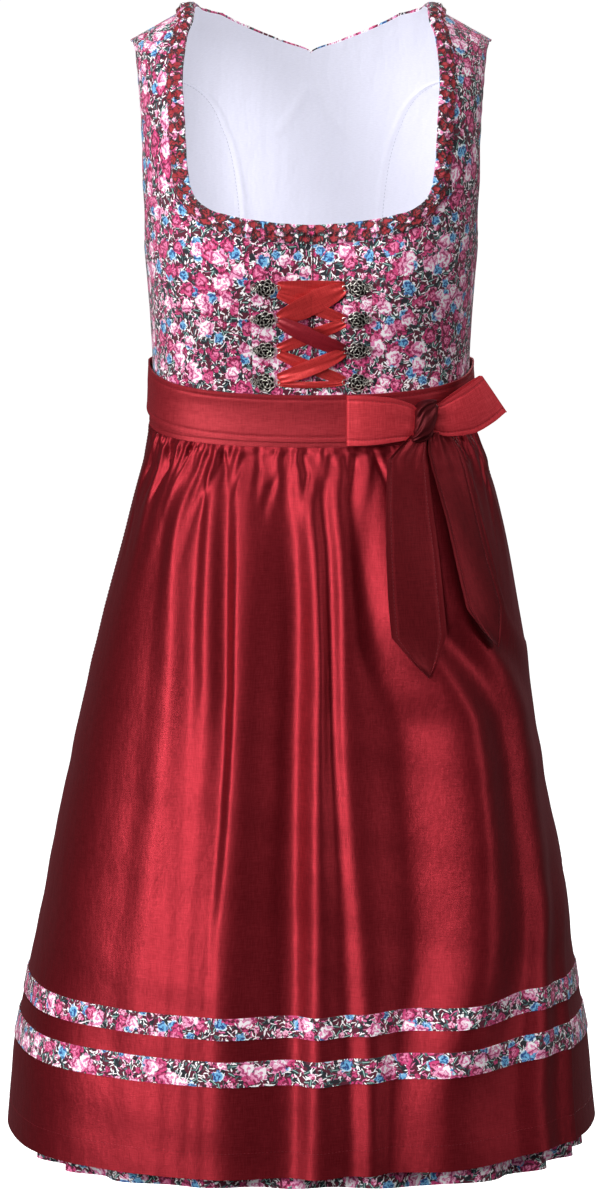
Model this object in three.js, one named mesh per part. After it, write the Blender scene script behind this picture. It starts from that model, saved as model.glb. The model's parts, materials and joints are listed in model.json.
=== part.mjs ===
import * as THREE from "three";
import { mergeVertices } from "three/addons/utils/BufferGeometryUtils.js";

// Dirndl with laced bodice, gathered skirt, apron, tie and bow, filled out as worn.
// Millimetres, +Z up, the front faces -Y. The origin lies between the straps at shoulder height.
// Angles run round the garment in degrees: 0 is centre front, 90 the wearer's left, 180 centre back.

// Walls and gaps
const BODICE_WALL = 1.8;
const LINING_WALL = 0.9;
const SKIRT_WALL = 1.2;
const APRON_WALL = 1.0;
const BAND_WALL = 1.5;
const SEAM_GAP = 0.3;
const SEAM_ANGLE = 0.07;

// Heights
const WAIST_SEAM = -345;
const UNDERARM = -214;
const BAND_BOTTOM = -376;
const APRON_HEM = -1008;
const SKIRT_HEM_FRONT = -1023;
const SKIRT_HEM_BACK = -1038;

// Shoulder ridge, where front and back panels meet
const RIDGE_DEPTH = 12;
const RIDGE_HALF = 163;
const RIDGE_TOP = 3;
const RIDGE_START = 105;
const SHOULDER_SLOPE = 0.56;
const FRONT_DOME = { start: -150, length: 165 };
const BACK_DOME = { start: -110, length: 140 };

// Fullness over the bust
const BUST = { across: 76, height: -222, spread: 42, rise: 48, depth: 24, base: 0.12 };

const BODY_CENTRE = -5;
const SQUARENESS = 0.05;

// Bodice sections
const BODICE_ROWS = [
  { z: -380, half: 145, front: 104, back: 94 },
  { z: -345, half: 143, front: 102, back: 92 },
  { z: -315, half: 142, front: 106, back: 96 },
  { z: -280, half: 143.5, front: 113, back: 101 },
  { z: -245, half: 146, front: 119, back: 105 },
  { z: -210, half: 149, front: 121, back: 107 },
  { z: -180, half: 151, front: 120, back: 106 },
  { z: -150, half: 153.5, front: 117, back: 104 },
  { z: -110, half: 155, front: 113, back: 102 },
];

// Apron and skirt sections: the mean surface of the apron, and how far the skirt lies inside it
const SKIRT_ROWS = [
  { z: -376, half: 148, front: 108, back: 98, shift: 0, inset: 4.4 },
  { z: -390, half: 152, front: 112, back: 103, shift: 2, inset: 7.5 },
  { z: -404, half: 156, front: 118, back: 109, shift: 3.5, inset: 9.5 },
  { z: -458, half: 170, front: 136, back: 128, shift: 3.5, inset: 12 },
  { z: -540, half: 189, front: 156, back: 152, shift: 0.5, inset: 15 },
  { z: -622, half: 206, front: 172, back: 170, shift: -2, inset: 16 },
  { z: -705, half: 221.5, front: 187, back: 186, shift: -3.5, inset: 17 },
  { z: -787, half: 237, front: 200, back: 199, shift: -5.5, inset: 18 },
  { z: -871, half: 251.5, front: 212, back: 209, shift: -8, inset: 20 },
  { z: -954, half: 265, front: 222, back: 217, shift: -8.5, inset: 23 },
  { z: -1040, half: 272, front: 230, back: 223, shift: -7, inset: 27 },
];

// Front panels, bottom to top: height on the centre edge, then the angle and height of the inner
// edge (princess seam, then neckline) and of the outer edge (side seam, then armhole).
const FRONT_ROWS = [
  { centre: -344.8, inner: 17.7, innerZ: -344.8, outer: 90, outerZ: -344.8 },
  { centre: -314, inner: 17.7, innerZ: -312, outer: 90, outerZ: -312 },
  { centre: -284, inner: 17.7, innerZ: -280, outer: 90, outerZ: -280 },
  { centre: -256, inner: 17.7, innerZ: -252, outer: 90, outerZ: -246 },
  { centre: -232, inner: 17.7, innerZ: -227, outer: 90, outerZ: UNDERARM },
  { centre: -208, inner: 17.7, innerZ: -203, outer: 84, outerZ: -206 },
  { centre: -185.3, inner: 17.7, innerZ: -180.1, outer: 79, outerZ: -194 },
  { inner: 24.9, innerZ: -176.4, outer: 76.5, outerZ: -182 },
  { inner: 30, innerZ: -172.3, outer: 74.6, outerZ: -168 },
  { inner: 34.2, innerZ: -165.6, outer: 73.5, outerZ: -152 },
  { inner: 37.3, innerZ: -155, outer: 73, outerZ: -134 },
  { inner: 39.3, innerZ: -135.3, outer: 73.4, outerZ: -113 },
  { inner: 39.9, innerZ: -110.4, outer: 74.6, outerZ: -90 },
  { inner: 40.5, innerZ: -82.6, outer: 76, outerZ: -66 },
  { inner: 39.4, innerZ: -62, outer: 76.6, outerZ: -42 },
  { inner: 37.7, innerZ: -42, outer: 77.3, outerZ: -20 },
  { inner: 35, innerZ: -22, outer: 78.2, outerZ: 0 },
  { inner: 34, innerZ: 15, outer: 79, outerZ: 15 },
];

// Back panels, bottom to top, with angles counted from centre back: the centre edge (fold, then
// neckline), the princess seam that ends at the armhole, and the side seam and armhole below it.
const BACK_ROWS = [
  { centre: 0, centreZ: -344.8, seam: 19, seamZ: -344.8, side: 90, sideZ: -344.8 },
  { centre: 0, centreZ: -312, seam: 19.8, seamZ: -312, side: 90, sideZ: -312 },
  { centre: 0, centreZ: -280, seam: 20.5, seamZ: -280, side: 90, sideZ: -280 },
  { centre: 0, centreZ: -246, seam: 21.1, seamZ: -246, side: 90, sideZ: -246 },
  { centre: 0, centreZ: -214, seam: 21.6, seamZ: -214, side: 90, sideZ: UNDERARM },
  { centre: 0, centreZ: -182, seam: 22, seamZ: -182, side: 83, sideZ: -202 },
  { centre: 0, centreZ: -153, seam: 23, seamZ: -150, side: 78.5, sideZ: -185 },
  { centre: 0, centreZ: -126, seam: 25.5, seamZ: -120, side: 75.8, sideZ: -160 },
  { centre: 0, centreZ: -102, seam: 31, seamZ: -94, side: 74.4, sideZ: -132 },
  { centre: 0, centreZ: -84, seam: 42, seamZ: -75, side: 74.2, sideZ: -106 },
  { centre: 0, centreZ: -72, seam: 57, seamZ: -65, side: 74.6, sideZ: -86 },
  { centre: 0, centreZ: -63.3, seam: 70, seamZ: -61, side: 75.6, sideZ: -68 },
  { centre: 8, centreZ: -53, seam: 75.7, seamZ: -52 },
  { centre: 16, centreZ: -42, seam: 75.9, seamZ: -30 },
  { centre: 25, centreZ: -26, seam: 76.5, seamZ: -5 },
  { centre: 32.5, centreZ: 0, seam: 77.8, seamZ: 17 },
  { centre: 34, centreZ: 30, seam: 79, seamZ: 30 },
];

// The neckline across the centre fronts, and the heights above which edge rows belong to it
const NECKLINE_LEAD = [
  { angle: 0, z: -185.3 },
  { angle: 7, z: -184.2 },
  { angle: 13, z: -182.2 },
];
const NECKLINE_START = -181;
const NECKLINE_BACK = -64;

const CENTRE_FRONT_COLUMNS = 3;
const SIDE_FRONT_COLUMNS = 7;
const CENTRE_BACK_COLUMNS = 5;
const SIDE_BACK_COLUMNS = 3;

// Ruched neck trim: two rows of puffs side by side
const TRIM_WIDTH = 17;
const TRIM_OVERHANG = { front: 1.5, back: -1.2, reach: 30 };
const TRIM_STAGGER = 1.2;
const TRIM_LIFT = 0.6;
const TRIM_PUFF = 4.2;
const TRIM_DIP = 2;
const TRIM_MIDDLE = 2.6;
const TRIM_PITCH = 17;

// Lacing
const ORNAMENT_ACROSS = 40;
const ORNAMENT_HEIGHTS = [-238, -266, -294, -322.5];
const ORNAMENT_RADIUS = 8.5;
const ORNAMENT_LEVELS = [
  { share: 1, rise: 0 },
  { share: 1, rise: 0.3 },
  { share: 0.55, rise: 0.8 },
];
const ORNAMENT_OUTLINE = { body: 0.95, lobes: 0.08, leaf: 0.42, eye: 0.3 };
const ORNAMENT_RISE = 3.2;
const ORNAMENT_LIFT = 0.8;
const EYE_ACROSS = 28.5;
const EYE_GAP = 0.4;
const RIBBON_WIDTH = 18;
const RIBBON_UNDER = 15;
const RIBBON_BAR = 9;
const RIBBON_ARCH = 2.4;
const RIBBON_PINCH = 6;
const RIBBON_WALL = 0.8;

// Tie band and bow
const TIE_TOP = { front: -334, rise: 21 };
const TIE_BOTTOM = { front: -376, rise: 22.5 };
const TIE_LIFT = 2.4;
const WAISTBAND_TOP = -341;
const WAISTBAND_BOTTOM = { front: -380, rise: 14.5 };
const WAISTBAND_ENDS = { left: -80, right: 85 };
const BAND_STEP = 5;
const KNOT_ANGLE = 35.5;
const KNOT_HEIGHT = -358;
const WAIST_PER_DEGREE = 2.28;
const KNOT_HALF = { across: 13, depth: 5.5, height: 18 };
const KNOT_LIFT = 10.2;

// Apron
const APRON_COLUMNS = 56;
const APRON_TOP = WAISTBAND_BOTTOM.front - SEAM_GAP;
const APRON_HEIGHTS = [
  APRON_TOP, -392, -408, -432, -467, -515, -580, -665, -765, -867, -886, -905, -927, -968, APRON_HEM,
];
const APRON_MIDDLE = -640;
const STRIPE_TOP = -867;
const HEM_RISE = [
  { angle: -98, rise: 2 },
  { angle: -75, rise: 6 },
  { angle: -60, rise: 4 },
  { angle: -30, rise: 0 },
  { angle: 0, rise: -2 },
  { angle: 15, rise: 2 },
  { angle: 33, rise: 6 },
  { angle: 50, rise: 12 },
  { angle: 75, rise: 12 },
  { angle: 98, rise: 6 },
];
const STRIPE_ROWS = [{ name: "upper", top: 9 }, { name: "lower", top: 11 }];
const STRIPE_WALL = 0.8;
const APRON_EDGES = [
  { z: -376, left: -79, right: 86 },
  { z: -450, left: -90, right: 92 },
  { z: -1010, left: -98, right: 98 },
];

// Crest and valley lines of the large apron folds, left to right: where each runs across and its
// lift, at five heights
const FOLD_LEVELS = [-1000, -804, -623, -522, -422];
const APRON_FOLDS = [
  { across: [-262, -240, -206, -176, -146], lift: [0, 0, 0, 0, 0] },
  { across: [-226, -208, -186, -160, -141], lift: [-3, -1, -2, -2, -2] },
  { across: [-196, -176, -156, -137, -127], lift: [4, 1, 2, 4, 3] },
  { across: [-170, -158, -140, -131, -118], lift: [-2, -1, -1, -3, -3] },
  { across: [-146, -138, -128, -122, -114], lift: [2, 1, 2, 5, 4] },
  { across: [-128, -120, -110, -104, -100], lift: [-1, 1, 0, -4, -3] },
  { across: [-110, -100, -94, -90, -86], lift: [3, 2, 3, 5, 4] },
  { across: [-98, -88, -80, -75, -78], lift: [1, 3, 1, -3, -2] },
  { across: [-82, -76, -68, -62, -59], lift: [6, 8, 7, 6, 4] },
  { across: [-54, -20, -12, -24, -50], lift: [-3, -6, -7, -6, -4] },
  { across: [-30, 5, 3, 7, -8], lift: [3, 5, 6, 4, 4] },
  { across: [2, 26, 25, 16, 0], lift: [-4, -6, -6, -4, -3] },
  { across: [28, 52, 36, 25, 14], lift: [5, 4, 5, 5, 4] },
  { across: [58, 76, 80, 50, 36], lift: [-5, -7, -8, -6, -4] },
  { across: [96, 118, 134, 92, 66], lift: [5, 6, 9, 6, 4] },
  { across: [132, 152, 160, 110, 84], lift: [-3, -5, -5, -4, -3] },
  { across: [168, 180, 178, 132, 106], lift: [3, 3, 3, 4, 4] },
  { across: [204, 204, 194, 154, 126], lift: [-3, -3, -3, -2, -2] },
  { across: [236, 222, 206, 170, 142], lift: [2, 1, 1, 1, 1] },
];
const FOLD_MEAN = 1.5;
const FOLD_START = 50;
const GATHER_FADE = [
  { z: -376, size: 1.6 },
  { z: -395, size: 2.6 },
  { z: -430, size: 2.0 },
  { z: -500, size: 0.7 },
  { z: -580, size: 0 },
];

// Skirt
const SKIRT_FRONT_COLUMNS = 40;
const SKIRT_FRONT_LEVELS = [0, 0.0526, 0.075, 0.14, 0.5, 0.86, 1];
const SKIRT_BACK_COLUMNS = 26;
const SKIRT_BACK_LEVELS = [0, 0.02, 0.045, 0.075, 0.13, 0.22, 0.36, 0.54, 0.77, 1];
const SKIRT_WAVES = 22;
const HEM_WAVE = 1.5;
const HEM_LIFT = { angle: 62, spread: 40, rise: 9 };
const SEAT_INSET = 0.7;
const SKIRT_GATHERS = [
  { z: -345, size: 0 },
  { z: -358, size: 1 },
  { z: -372, size: 2.2 },
  { z: -392, size: 3 },
  { z: -450, size: 2.2 },
  { z: -560, size: 0.8 },
  { z: -640, size: 0 },
];
const BACK_WAVES = [
  { z: -390, size: 0 },
  { z: -480, size: 4 },
  { z: -650, size: 9 },
  { z: -1040, size: 13 },
];
const FRONT_WAVES = [
  { z: -390, size: 0 },
  { z: -500, size: 2 },
  { z: -880, size: 3 },
  { z: -1023, size: 10 },
];

// Colours and finishes
const FLORAL = { color: 0x8c4a68, roughness: 0.85, metalness: 0 };
const COTTON = { color: 0xeeeefa, roughness: 0.9, metalness: 0 };
const TRIM = { color: 0x7d1230, roughness: 0.7, metalness: 0 };
const TAFFETA = { color: 0x7a0f1c, roughness: 0.4, metalness: 0.25 };
const SATIN = { color: 0xc01a2c, roughness: 0.3, metalness: 0.2 };
const SILVER = { color: 0x6f6a66, roughness: 0.4, metalness: 0.9 };

const group = new THREE.Group();

function radians(degrees) {
  return (degrees * Math.PI) / 180;
}

function mix(a, b, t) {
  return a + (b - a) * t;
}

// Reads named columns of a table at a height by straight lines between its rows
function tableAt(table, z, names) {
  const rows = table[0].z > table[table.length - 1].z ? table : [...table].reverse();
  const last = rows.length - 1;
  const height = Math.min(rows[0].z, Math.max(rows[last].z, z));
  let index = 0;
  while (index < last - 1 && rows[index + 1].z > height) {
    index += 1;
  }
  const t = (rows[index].z - height) / (rows[index].z - rows[index + 1].z);
  return names.map((name) => mix(rows[index][name], rows[index + 1][name], t));
}

// Rounded-box section: unit offsets to the side and to the front
function section(angle) {
  const a = radians(angle);
  const scale = 1 - SQUARENESS;
  return {
    side: (Math.sin(a) + SQUARENESS * Math.sin(3 * a)) / scale,
    front: (Math.cos(a) - SQUARENESS * Math.cos(3 * a)) / scale,
  };
}

// Angle at which the section reaches a share of its half width, on the front
function angleAt(share) {
  let low = -90;
  let high = 90;
  for (let step = 0; step < 30; step += 1) {
    const middle = (low + high) / 2;
    if (section(middle).side < share) {
      low = middle;
    } else {
      high = middle;
    }
  }
  return low;
}

function ridgeHeight(x) {
  const neck = 80;
  const side = Math.max(Math.abs(x), neck);
  const inside = Math.max(neck - Math.abs(x), 0);
  return RIDGE_TOP - SHOULDER_SLOPE * (side - RIDGE_START) + 0.1 * inside;
}

function bustFullness(x, front, height) {
  const across = Math.exp(-((Math.abs(x) - BUST.across) ** 2) / (2 * BUST.spread ** 2)) - BUST.base;
  const up = Math.exp(-((height - BUST.height) ** 2) / (2 * BUST.rise ** 2));
  return BUST.depth * Math.max(across, 0) * up * Math.sqrt(Math.max(front, 0));
}

// Outer surface of the bodice. Above the dome's start the height is a length along the cloth,
// which closes over the shoulder in a quarter ellipse.
function bodicePoint(angle, height, dome) {
  const shape = section(angle);
  const base = Math.min(height, dome.start);
  const [half, front, back] = tableAt(BODICE_ROWS, base, ["half", "front", "back"]);
  const turn = Math.min(Math.max(height - dome.start, 0) / dome.length, 1);
  const x = mix(half, RIDGE_HALF, turn ** 1.5) * shape.side;
  let y = BODY_CENTRE - (shape.front > 0 ? front : back) * shape.front;
  y -= bustFullness(x, shape.front, mix(base, height, 0.9));
  const bend = (turn * Math.PI) / 2;
  const z = base + (ridgeHeight(x) - base) * Math.sin(bend) * Math.sign(turn);
  return new THREE.Vector3(x, mix(RIDGE_DEPTH, y, Math.cos(bend)), turn > 0 ? z : height);
}

function bodiceFrame(angle, height, dome) {
  const step = 0.2;
  const point = bodicePoint(angle, height, dome);
  const up = Math.min(height + step, dome.start + dome.length);
  const across = bodicePoint(angle + step, height, dome).sub(bodicePoint(angle - step, height, dome));
  const along = bodicePoint(angle, up, dome).sub(bodicePoint(angle, up - 2 * step, dome));
  const normal = across.clone().cross(along).normalize();
  across.multiplyScalar(1 / (2 * step));
  along.multiplyScalar(1 / (2 * step));
  return { point, normal, across, along };
}

// A point of a wall: its outer and inner position, at two lifts from the bodice's outer surface.
// On the shoulder both stand in the plane of the shoulder seam, half a seam gap from it.
function bodiceWall(angle, height, dome, outerLift, innerLift) {
  const { point, normal } = bodiceFrame(angle, height, dome);
  const outer = point.clone().addScaledVector(normal, outerLift);
  const inner = point.clone().addScaledVector(normal, innerLift);
  if (height > dome.start + dome.length - SEAM_GAP) {
    const side = dome === FRONT_DOME ? -1 : 1;
    outer.y = RIDGE_DEPTH + (side * SEAM_GAP) / 2;
    inner.y = outer.y;
  }
  return { outer, inner };
}

// Closed wall of cloth over grids of paired points. Grids that share points join there, and
// every open edge is closed. Columns run to the right and rows up as seen from outside, or the
// grid is flipped.
function wall(...grids) {
  const outer = [];
  const inner = [];
  const places = new Map();
  const cells = [];
  const place = (pair) => {
    const key = pair.outer.toArray().map((value) => value.toFixed(3)).join(" ");
    if (!places.has(key)) {
      places.set(key, outer.length);
      outer.push(pair.outer);
      inner.push(pair.inner);
    }
    return places.get(key);
  };
  for (const { rows, flip = false } of grids) {
    const ids = rows.map((row) => row.map(place));
    for (let r = 0; r + 1 < ids.length; r += 1) {
      for (let c = 0; c + 1 < ids[r].length; c += 1) {
        const cell = [ids[r][c], ids[r][c + 1], ids[r + 1][c + 1], ids[r + 1][c]];
        cells.push(flip ? cell.reverse() : cell);
      }
    }
  }
  const edges = new Set();
  const triangles = [];
  const back = outer.length;
  for (const [a, b, c, d] of cells) {
    triangles.push([a, b, c], [a, c, d]);
    triangles.push([back + c, back + b, back + a], [back + d, back + c, back + a]);
    for (const [from, to] of [[a, b], [b, c], [c, d], [d, a]]) {
      edges.add(`${from} ${to}`);
    }
  }
  for (const edge of edges) {
    const [from, to] = edge.split(" ").map(Number);
    if (!edges.has(`${to} ${from}`)) {
      triangles.push([to, from, back + from], [to, back + from, back + to]);
    }
  }
  return solid([...outer, ...inner], triangles);
}

function solid(points, triangles) {
  const geometry = new THREE.BufferGeometry();
  const positions = new Float32Array(points.flatMap((point) => point.toArray()));
  geometry.setAttribute("position", new THREE.BufferAttribute(positions, 3));
  geometry.setIndex(triangles.flat());
  return geometry;
}

function addPiece(name, geometry, finish) {
  const mesh = new THREE.Mesh(geometry, new THREE.MeshStandardMaterial(finish));
  mesh.name = name;
  group.add(mesh);
  return mesh;
}

function mirrored(grid) {
  const turn = (point) => new THREE.Vector3(-point.x, point.y, point.z);
  const turnPair = ({ outer, inner }) => ({ outer: turn(outer), inner: turn(inner) });
  return { rows: grid.rows.map((row) => row.map(turnPair)), flip: !grid.flip };
}

// Grid between two edges given as an angle and a height for each row
function panelGrid(edges, columns, dome, outerLift, innerLift) {
  const rows = edges.map(({ from, to }) =>
    Array.from({ length: columns + 1 }, (_, c) => {
      const t = c / columns;
      const angle = mix(from.angle, to.angle, t);
      const height = mix(from.height, to.height, t);
      return bodiceWall(angle, height, dome, outerLift, innerLift);
    }),
  );
  return { rows };
}

// Bodice fronts

function centreFrontGrid() {
  const edges = FRONT_ROWS.filter((row) => row.centre !== undefined).map((row) => ({
    from: { angle: SEAM_ANGLE, height: row.centre },
    to: { angle: row.inner - SEAM_ANGLE, height: row.innerZ },
  }));
  return panelGrid(edges, CENTRE_FRONT_COLUMNS, FRONT_DOME, 0, -BODICE_WALL);
}

function sideFrontGrid() {
  const edges = FRONT_ROWS.map((row) => ({
    from: { angle: row.inner + (row.centre === undefined ? 0 : SEAM_ANGLE), height: row.innerZ },
    to: { angle: row.outer - (row.outer === 90 ? SEAM_ANGLE : 0), height: row.outerZ },
  }));
  return panelGrid(edges, SIDE_FRONT_COLUMNS, FRONT_DOME, 0, -BODICE_WALL);
}

// Bodice backs, on the wearer's left. Angles from centre back turn into angles round the garment.

function backCentreGrid(outerLift, innerLift, seam) {
  const edges = BACK_ROWS.map((row) => ({
    from: { angle: 180 - row.seam + seam, height: row.seamZ + (row.side === undefined ? 0 : seam) },
    to: { angle: 180 - row.centre, height: row.centreZ },
  }));
  return panelGrid(edges, CENTRE_BACK_COLUMNS, BACK_DOME, outerLift, innerLift);
}

function backSideGrid(outerLift, innerLift, seam) {
  const edges = BACK_ROWS.filter((row) => row.side !== undefined).map((row) => ({
    from: { angle: 180 - row.side + (row.side === 90 ? SEAM_ANGLE : 0), height: row.sideZ },
    to: { angle: 180 - row.seam - seam, height: row.seamZ - seam },
  }));
  return panelGrid(edges, SIDE_BACK_COLUMNS, BACK_DOME, outerLift, innerLift);
}

function addBodice() {
  const centre = centreFrontGrid();
  const side = sideFrontGrid();
  addPiece("bodice_centre_front_left", wall(centre), FLORAL);
  addPiece("bodice_centre_front_right", wall(mirrored(centre)), FLORAL);
  addPiece("bodice_side_front_left", wall(side), FLORAL);
  addPiece("bodice_side_front_right", wall(mirrored(side)), FLORAL);
  const seam = 2 * SEAM_ANGLE;
  const back = backCentreGrid(0, -BODICE_WALL, seam);
  const backSide = backSideGrid(0, -BODICE_WALL, seam);
  addPiece("bodice_centre_back", wall(back, mirrored(back)), FLORAL);
  addPiece("bodice_side_back_left", wall(backSide), FLORAL);
  addPiece("bodice_side_back_right", wall(mirrored(backSide)), FLORAL);
}

function addLining() {
  const outerLift = -BODICE_WALL - 2.5 * SEAM_GAP;
  const innerLift = outerLift - LINING_WALL;
  const centre = backCentreGrid(outerLift, innerLift, 0);
  const side = backSideGrid(outerLift, innerLift, 0);
  addPiece("back_lining", wall(centre, mirrored(centre), side, mirrored(side)), COTTON);
}

// Neck trim

// The neckline from centre front over the wearer's left shoulder to centre back
function necklineSamples() {
  const edge = FRONT_ROWS.filter((row) => row.innerZ >= NECKLINE_START);
  const front = edge.map((row) => [row.inner, row.innerZ]);
  const lead = NECKLINE_LEAD.map((row) => [row.angle, row.z]);
  const rear = BACK_ROWS.filter((row) => row.centreZ >= NECKLINE_BACK).reverse();
  const back = rear.map((row) => [180 - row.centre, row.centreZ]);
  const legs = [
    { nodes: [...lead, ...front], dome: FRONT_DOME },
    { nodes: back, dome: BACK_DOME },
  ];
  const samples = [];
  const pieces = 12;
  for (const { nodes, dome } of legs) {
    for (let i = 0; i + 1 < nodes.length; i += 1) {
      for (let k = 0; k < pieces; k += 1) {
        const t = k / pieces;
        const angle = mix(nodes[i][0], nodes[i + 1][0], t);
        const height = mix(nodes[i][1], nodes[i + 1][1], t);
        samples.push({ angle, height, dome });
      }
    }
    const end = nodes[nodes.length - 1];
    samples.push({ angle: end[0], height: end[1], dome });
  }
  return samples;
}

function spacedStations(samples, count) {
  const points = samples.map(({ angle, height, dome }) => bodicePoint(angle, height, dome));
  const lengths = [0];
  for (let i = 1; i < points.length; i += 1) {
    lengths.push(lengths[i - 1] + points[i].distanceTo(points[i - 1]));
  }
  const total = lengths[lengths.length - 1];
  const stations = [];
  for (let k = 0; k <= count; k += 1) {
    const target = (total * k) / count;
    let i = 0;
    while (i < lengths.length - 2 && lengths[i + 1] < target) {
      i += 1;
    }
    const ahead = Math.min(i + 4, points.length - 1);
    const behind = Math.max(i - 3, 0);
    const tangent = points[ahead].clone().sub(points[behind]).normalize();
    stations.push({ ...samples[target - lengths[i] < lengths[i + 1] - target ? i : i + 1], tangent });
  }
  stations[0].tangent.set(1, 0, 0);
  stations[count].tangent.set(-1, 0, 0);
  return { stations, total };
}

// A point beside the neckline, measured away from the opening on the cloth, and lifted off it
function besideNeckline({ angle, height, dome, tangent }, distance, lift) {
  const frame = bodiceFrame(angle, height, dome);
  const away = tangent.clone().cross(frame.normal).normalize();
  const turn = (away.dot(frame.across) / frame.across.lengthSq()) * distance;
  const rise = (away.dot(frame.along) / frame.along.lengthSq()) * distance;
  const there = bodiceFrame(angle + turn, height + rise, dome);
  return there.point.addScaledVector(there.normal, lift);
}

function trimSection(station, odd) {
  const top = odd ? TRIM_PUFF : TRIM_DIP;
  const depth = bodicePoint(station.angle, station.height, station.dome).y;
  const share = Math.min(Math.max(0.5 + depth / (2 * TRIM_OVERHANG.reach), 0), 1);
  const overhang = mix(TRIM_OVERHANG.front, TRIM_OVERHANG.back, share);
  const innerEdge = -overhang - (odd ? 0 : TRIM_STAGGER);
  const outerEdge = TRIM_WIDTH - overhang + (odd ? TRIM_STAGGER : 0);
  const middle = TRIM_WIDTH / 2 - overhang;
  const corners = [
    [innerEdge, TRIM_LIFT],
    [innerEdge, TRIM_LIFT + top],
    [middle, TRIM_LIFT + TRIM_MIDDLE],
    [outerEdge, TRIM_LIFT + top],
    [outerEdge, TRIM_LIFT],
    [middle, TRIM_LIFT],
  ];
  return corners.map(([distance, lift]) => besideNeckline(station, distance, lift));
}

function addTrim() {
  const samples = necklineSamples();
  const puffs = Math.round(spacedStations(samples, 10).total / TRIM_PITCH);
  const { stations } = spacedStations(samples, 2 * puffs);
  const left = stations.map((station, i) => trimSection(station, i % 2 === 1));
  const turn = (point) => new THREE.Vector3(-point.x, point.y, point.z);
  const right = left.slice(1, -1).reverse().map((ring) => ring.map(turn));
  const rings = [...left, ...right];
  const size = rings[0].length;
  const triangles = [];
  rings.forEach((_, i) => {
    const next = (i + 1) % rings.length;
    for (let k = 0; k < size; k += 1) {
      const after = (k + 1) % size;
      const quad = [i * size + k, i * size + after, next * size + after, next * size + k];
      triangles.push([quad[0], quad[1], quad[2]], [quad[0], quad[2], quad[3]]);
    }
  });
  addPiece("neck_trim", solid(rings.flat(), triangles), TRIM);
}

// Lacing

// Rosette with a leaf towards the side and an eye towards the centre
function ornamentReach(angle) {
  const { body, lobes, leaf, eye } = ORNAMENT_OUTLINE;
  const petals = lobes * Math.cos(6 * angle);
  const outward = leaf * Math.max(Math.cos(angle), 0) ** 6;
  const inward = eye * Math.max(-Math.cos(angle), 0) ** 8;
  return ORNAMENT_RADIUS * (body + petals + outward + inward);
}

function addOrnament(name, across, height) {
  const side = Math.sign(across);
  const [half] = tableAt(BODICE_ROWS, height, ["half"]);
  const frame = bodiceFrame(angleAt(across / half), height, FRONT_DOME);
  const right = frame.across.clone().normalize().multiplyScalar(side);
  const up = new THREE.Vector3().crossVectors(frame.normal, right).normalize().multiplyScalar(side);
  const count = 14;
  const points = [];
  for (const { share, rise } of ORNAMENT_LEVELS) {
    const lift = ORNAMENT_LIFT + ORNAMENT_RISE * rise;
    for (let i = 0; i < count; i += 1) {
      const angle = (side * 2 * Math.PI * i) / count;
      const reach = ornamentReach(angle) * share;
      const point = frame.point.clone().addScaledVector(frame.normal, lift);
      point.addScaledVector(right, Math.cos(angle) * reach);
      points.push(point.addScaledVector(up, Math.sin(angle) * reach));
    }
  }
  const bottom = points.push(frame.point.clone().addScaledVector(frame.normal, ORNAMENT_LIFT)) - 1;
  const crown = ORNAMENT_LIFT + ORNAMENT_RISE;
  const top = points.push(frame.point.clone().addScaledVector(frame.normal, crown)) - 1;
  const triangles = [];
  for (let i = 0; i < count; i += 1) {
    const next = (i + 1) % count;
    triangles.push([bottom, next, i]);
    for (let level = 0; level < 2; level += 1) {
      const low = level * count;
      const high = low + count;
      triangles.push([low + i, low + next, high + next], [low + i, high + next, high + i]);
    }
    triangles.push([top, 2 * count + i, 2 * count + next]);
  }
  addPiece(name, solid(points, triangles), SILVER);
}

// One flat stretch of ribbon between two eyes, pinched at both ends
function addStretch(name, from, to, { arch = 0, width = RIBBON_WIDTH }) {
  const steps = 8;
  const rows = Array.from({ length: 3 }, () => []);
  for (let i = 0; i <= steps; i += 1) {
    const t = i / steps;
    const belly = Math.sin(Math.PI * t);
    const x = mix(from.x, to.x, t);
    const z = mix(from.z, to.z, t);
    const lift = TRIM_LIFT + arch * belly ** 1.5;
    const reach = mix(RIBBON_PINCH, width, belly) / 2;
    for (let r = 0; r < 3; r += 1) {
      const height = z + (r - 1) * reach;
      const [half] = tableAt(BODICE_ROWS, height, ["half"]);
      rows[r].push(bodiceWall(angleAt(x / half), height, FRONT_DOME, lift + RIBBON_WALL, lift));
    }
  }
  addPiece(name, wall({ rows, flip: from.x > to.x }), SATIN);
}

function addLacing() {
  ORNAMENT_HEIGHTS.forEach((height, i) => {
    addOrnament(`ornament_left_${i + 1}`, ORNAMENT_ACROSS, height);
    addOrnament(`ornament_right_${i + 1}`, -ORNAMENT_ACROSS, height);
  });
  const [first, second, third, last] = ORNAMENT_HEIGHTS;
  const end = RIBBON_PINCH / 2 + EYE_GAP;
  const addBar = (name, z) => {
    addStretch(name, { x: -EYE_ACROSS, z }, { x: EYE_ACROSS, z }, { width: RIBBON_BAR });
  };
  addBar("lace_top", first + end);
  const pairs = [[first, second], [second, third], [third, last]];
  pairs.forEach(([high, low], i) => {
    const side = i % 2 === 0 ? 1 : -1;
    const top = high - end;
    const bottom = low + end;
    const over = [{ x: side * EYE_ACROSS, z: top }, { x: -side * EYE_ACROSS, z: bottom }];
    const under = [{ x: -side * EYE_ACROSS, z: top }, { x: side * EYE_ACROSS, z: bottom }];
    addStretch(`lace_over_${i + 1}`, over[0], over[1], { arch: RIBBON_ARCH });
    addStretch(`lace_under_${i + 1}`, under[0], under[1], { width: RIBBON_UNDER });
  });
  addBar("lace_bottom", last - end);
}

// Skirt and apron

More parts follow.
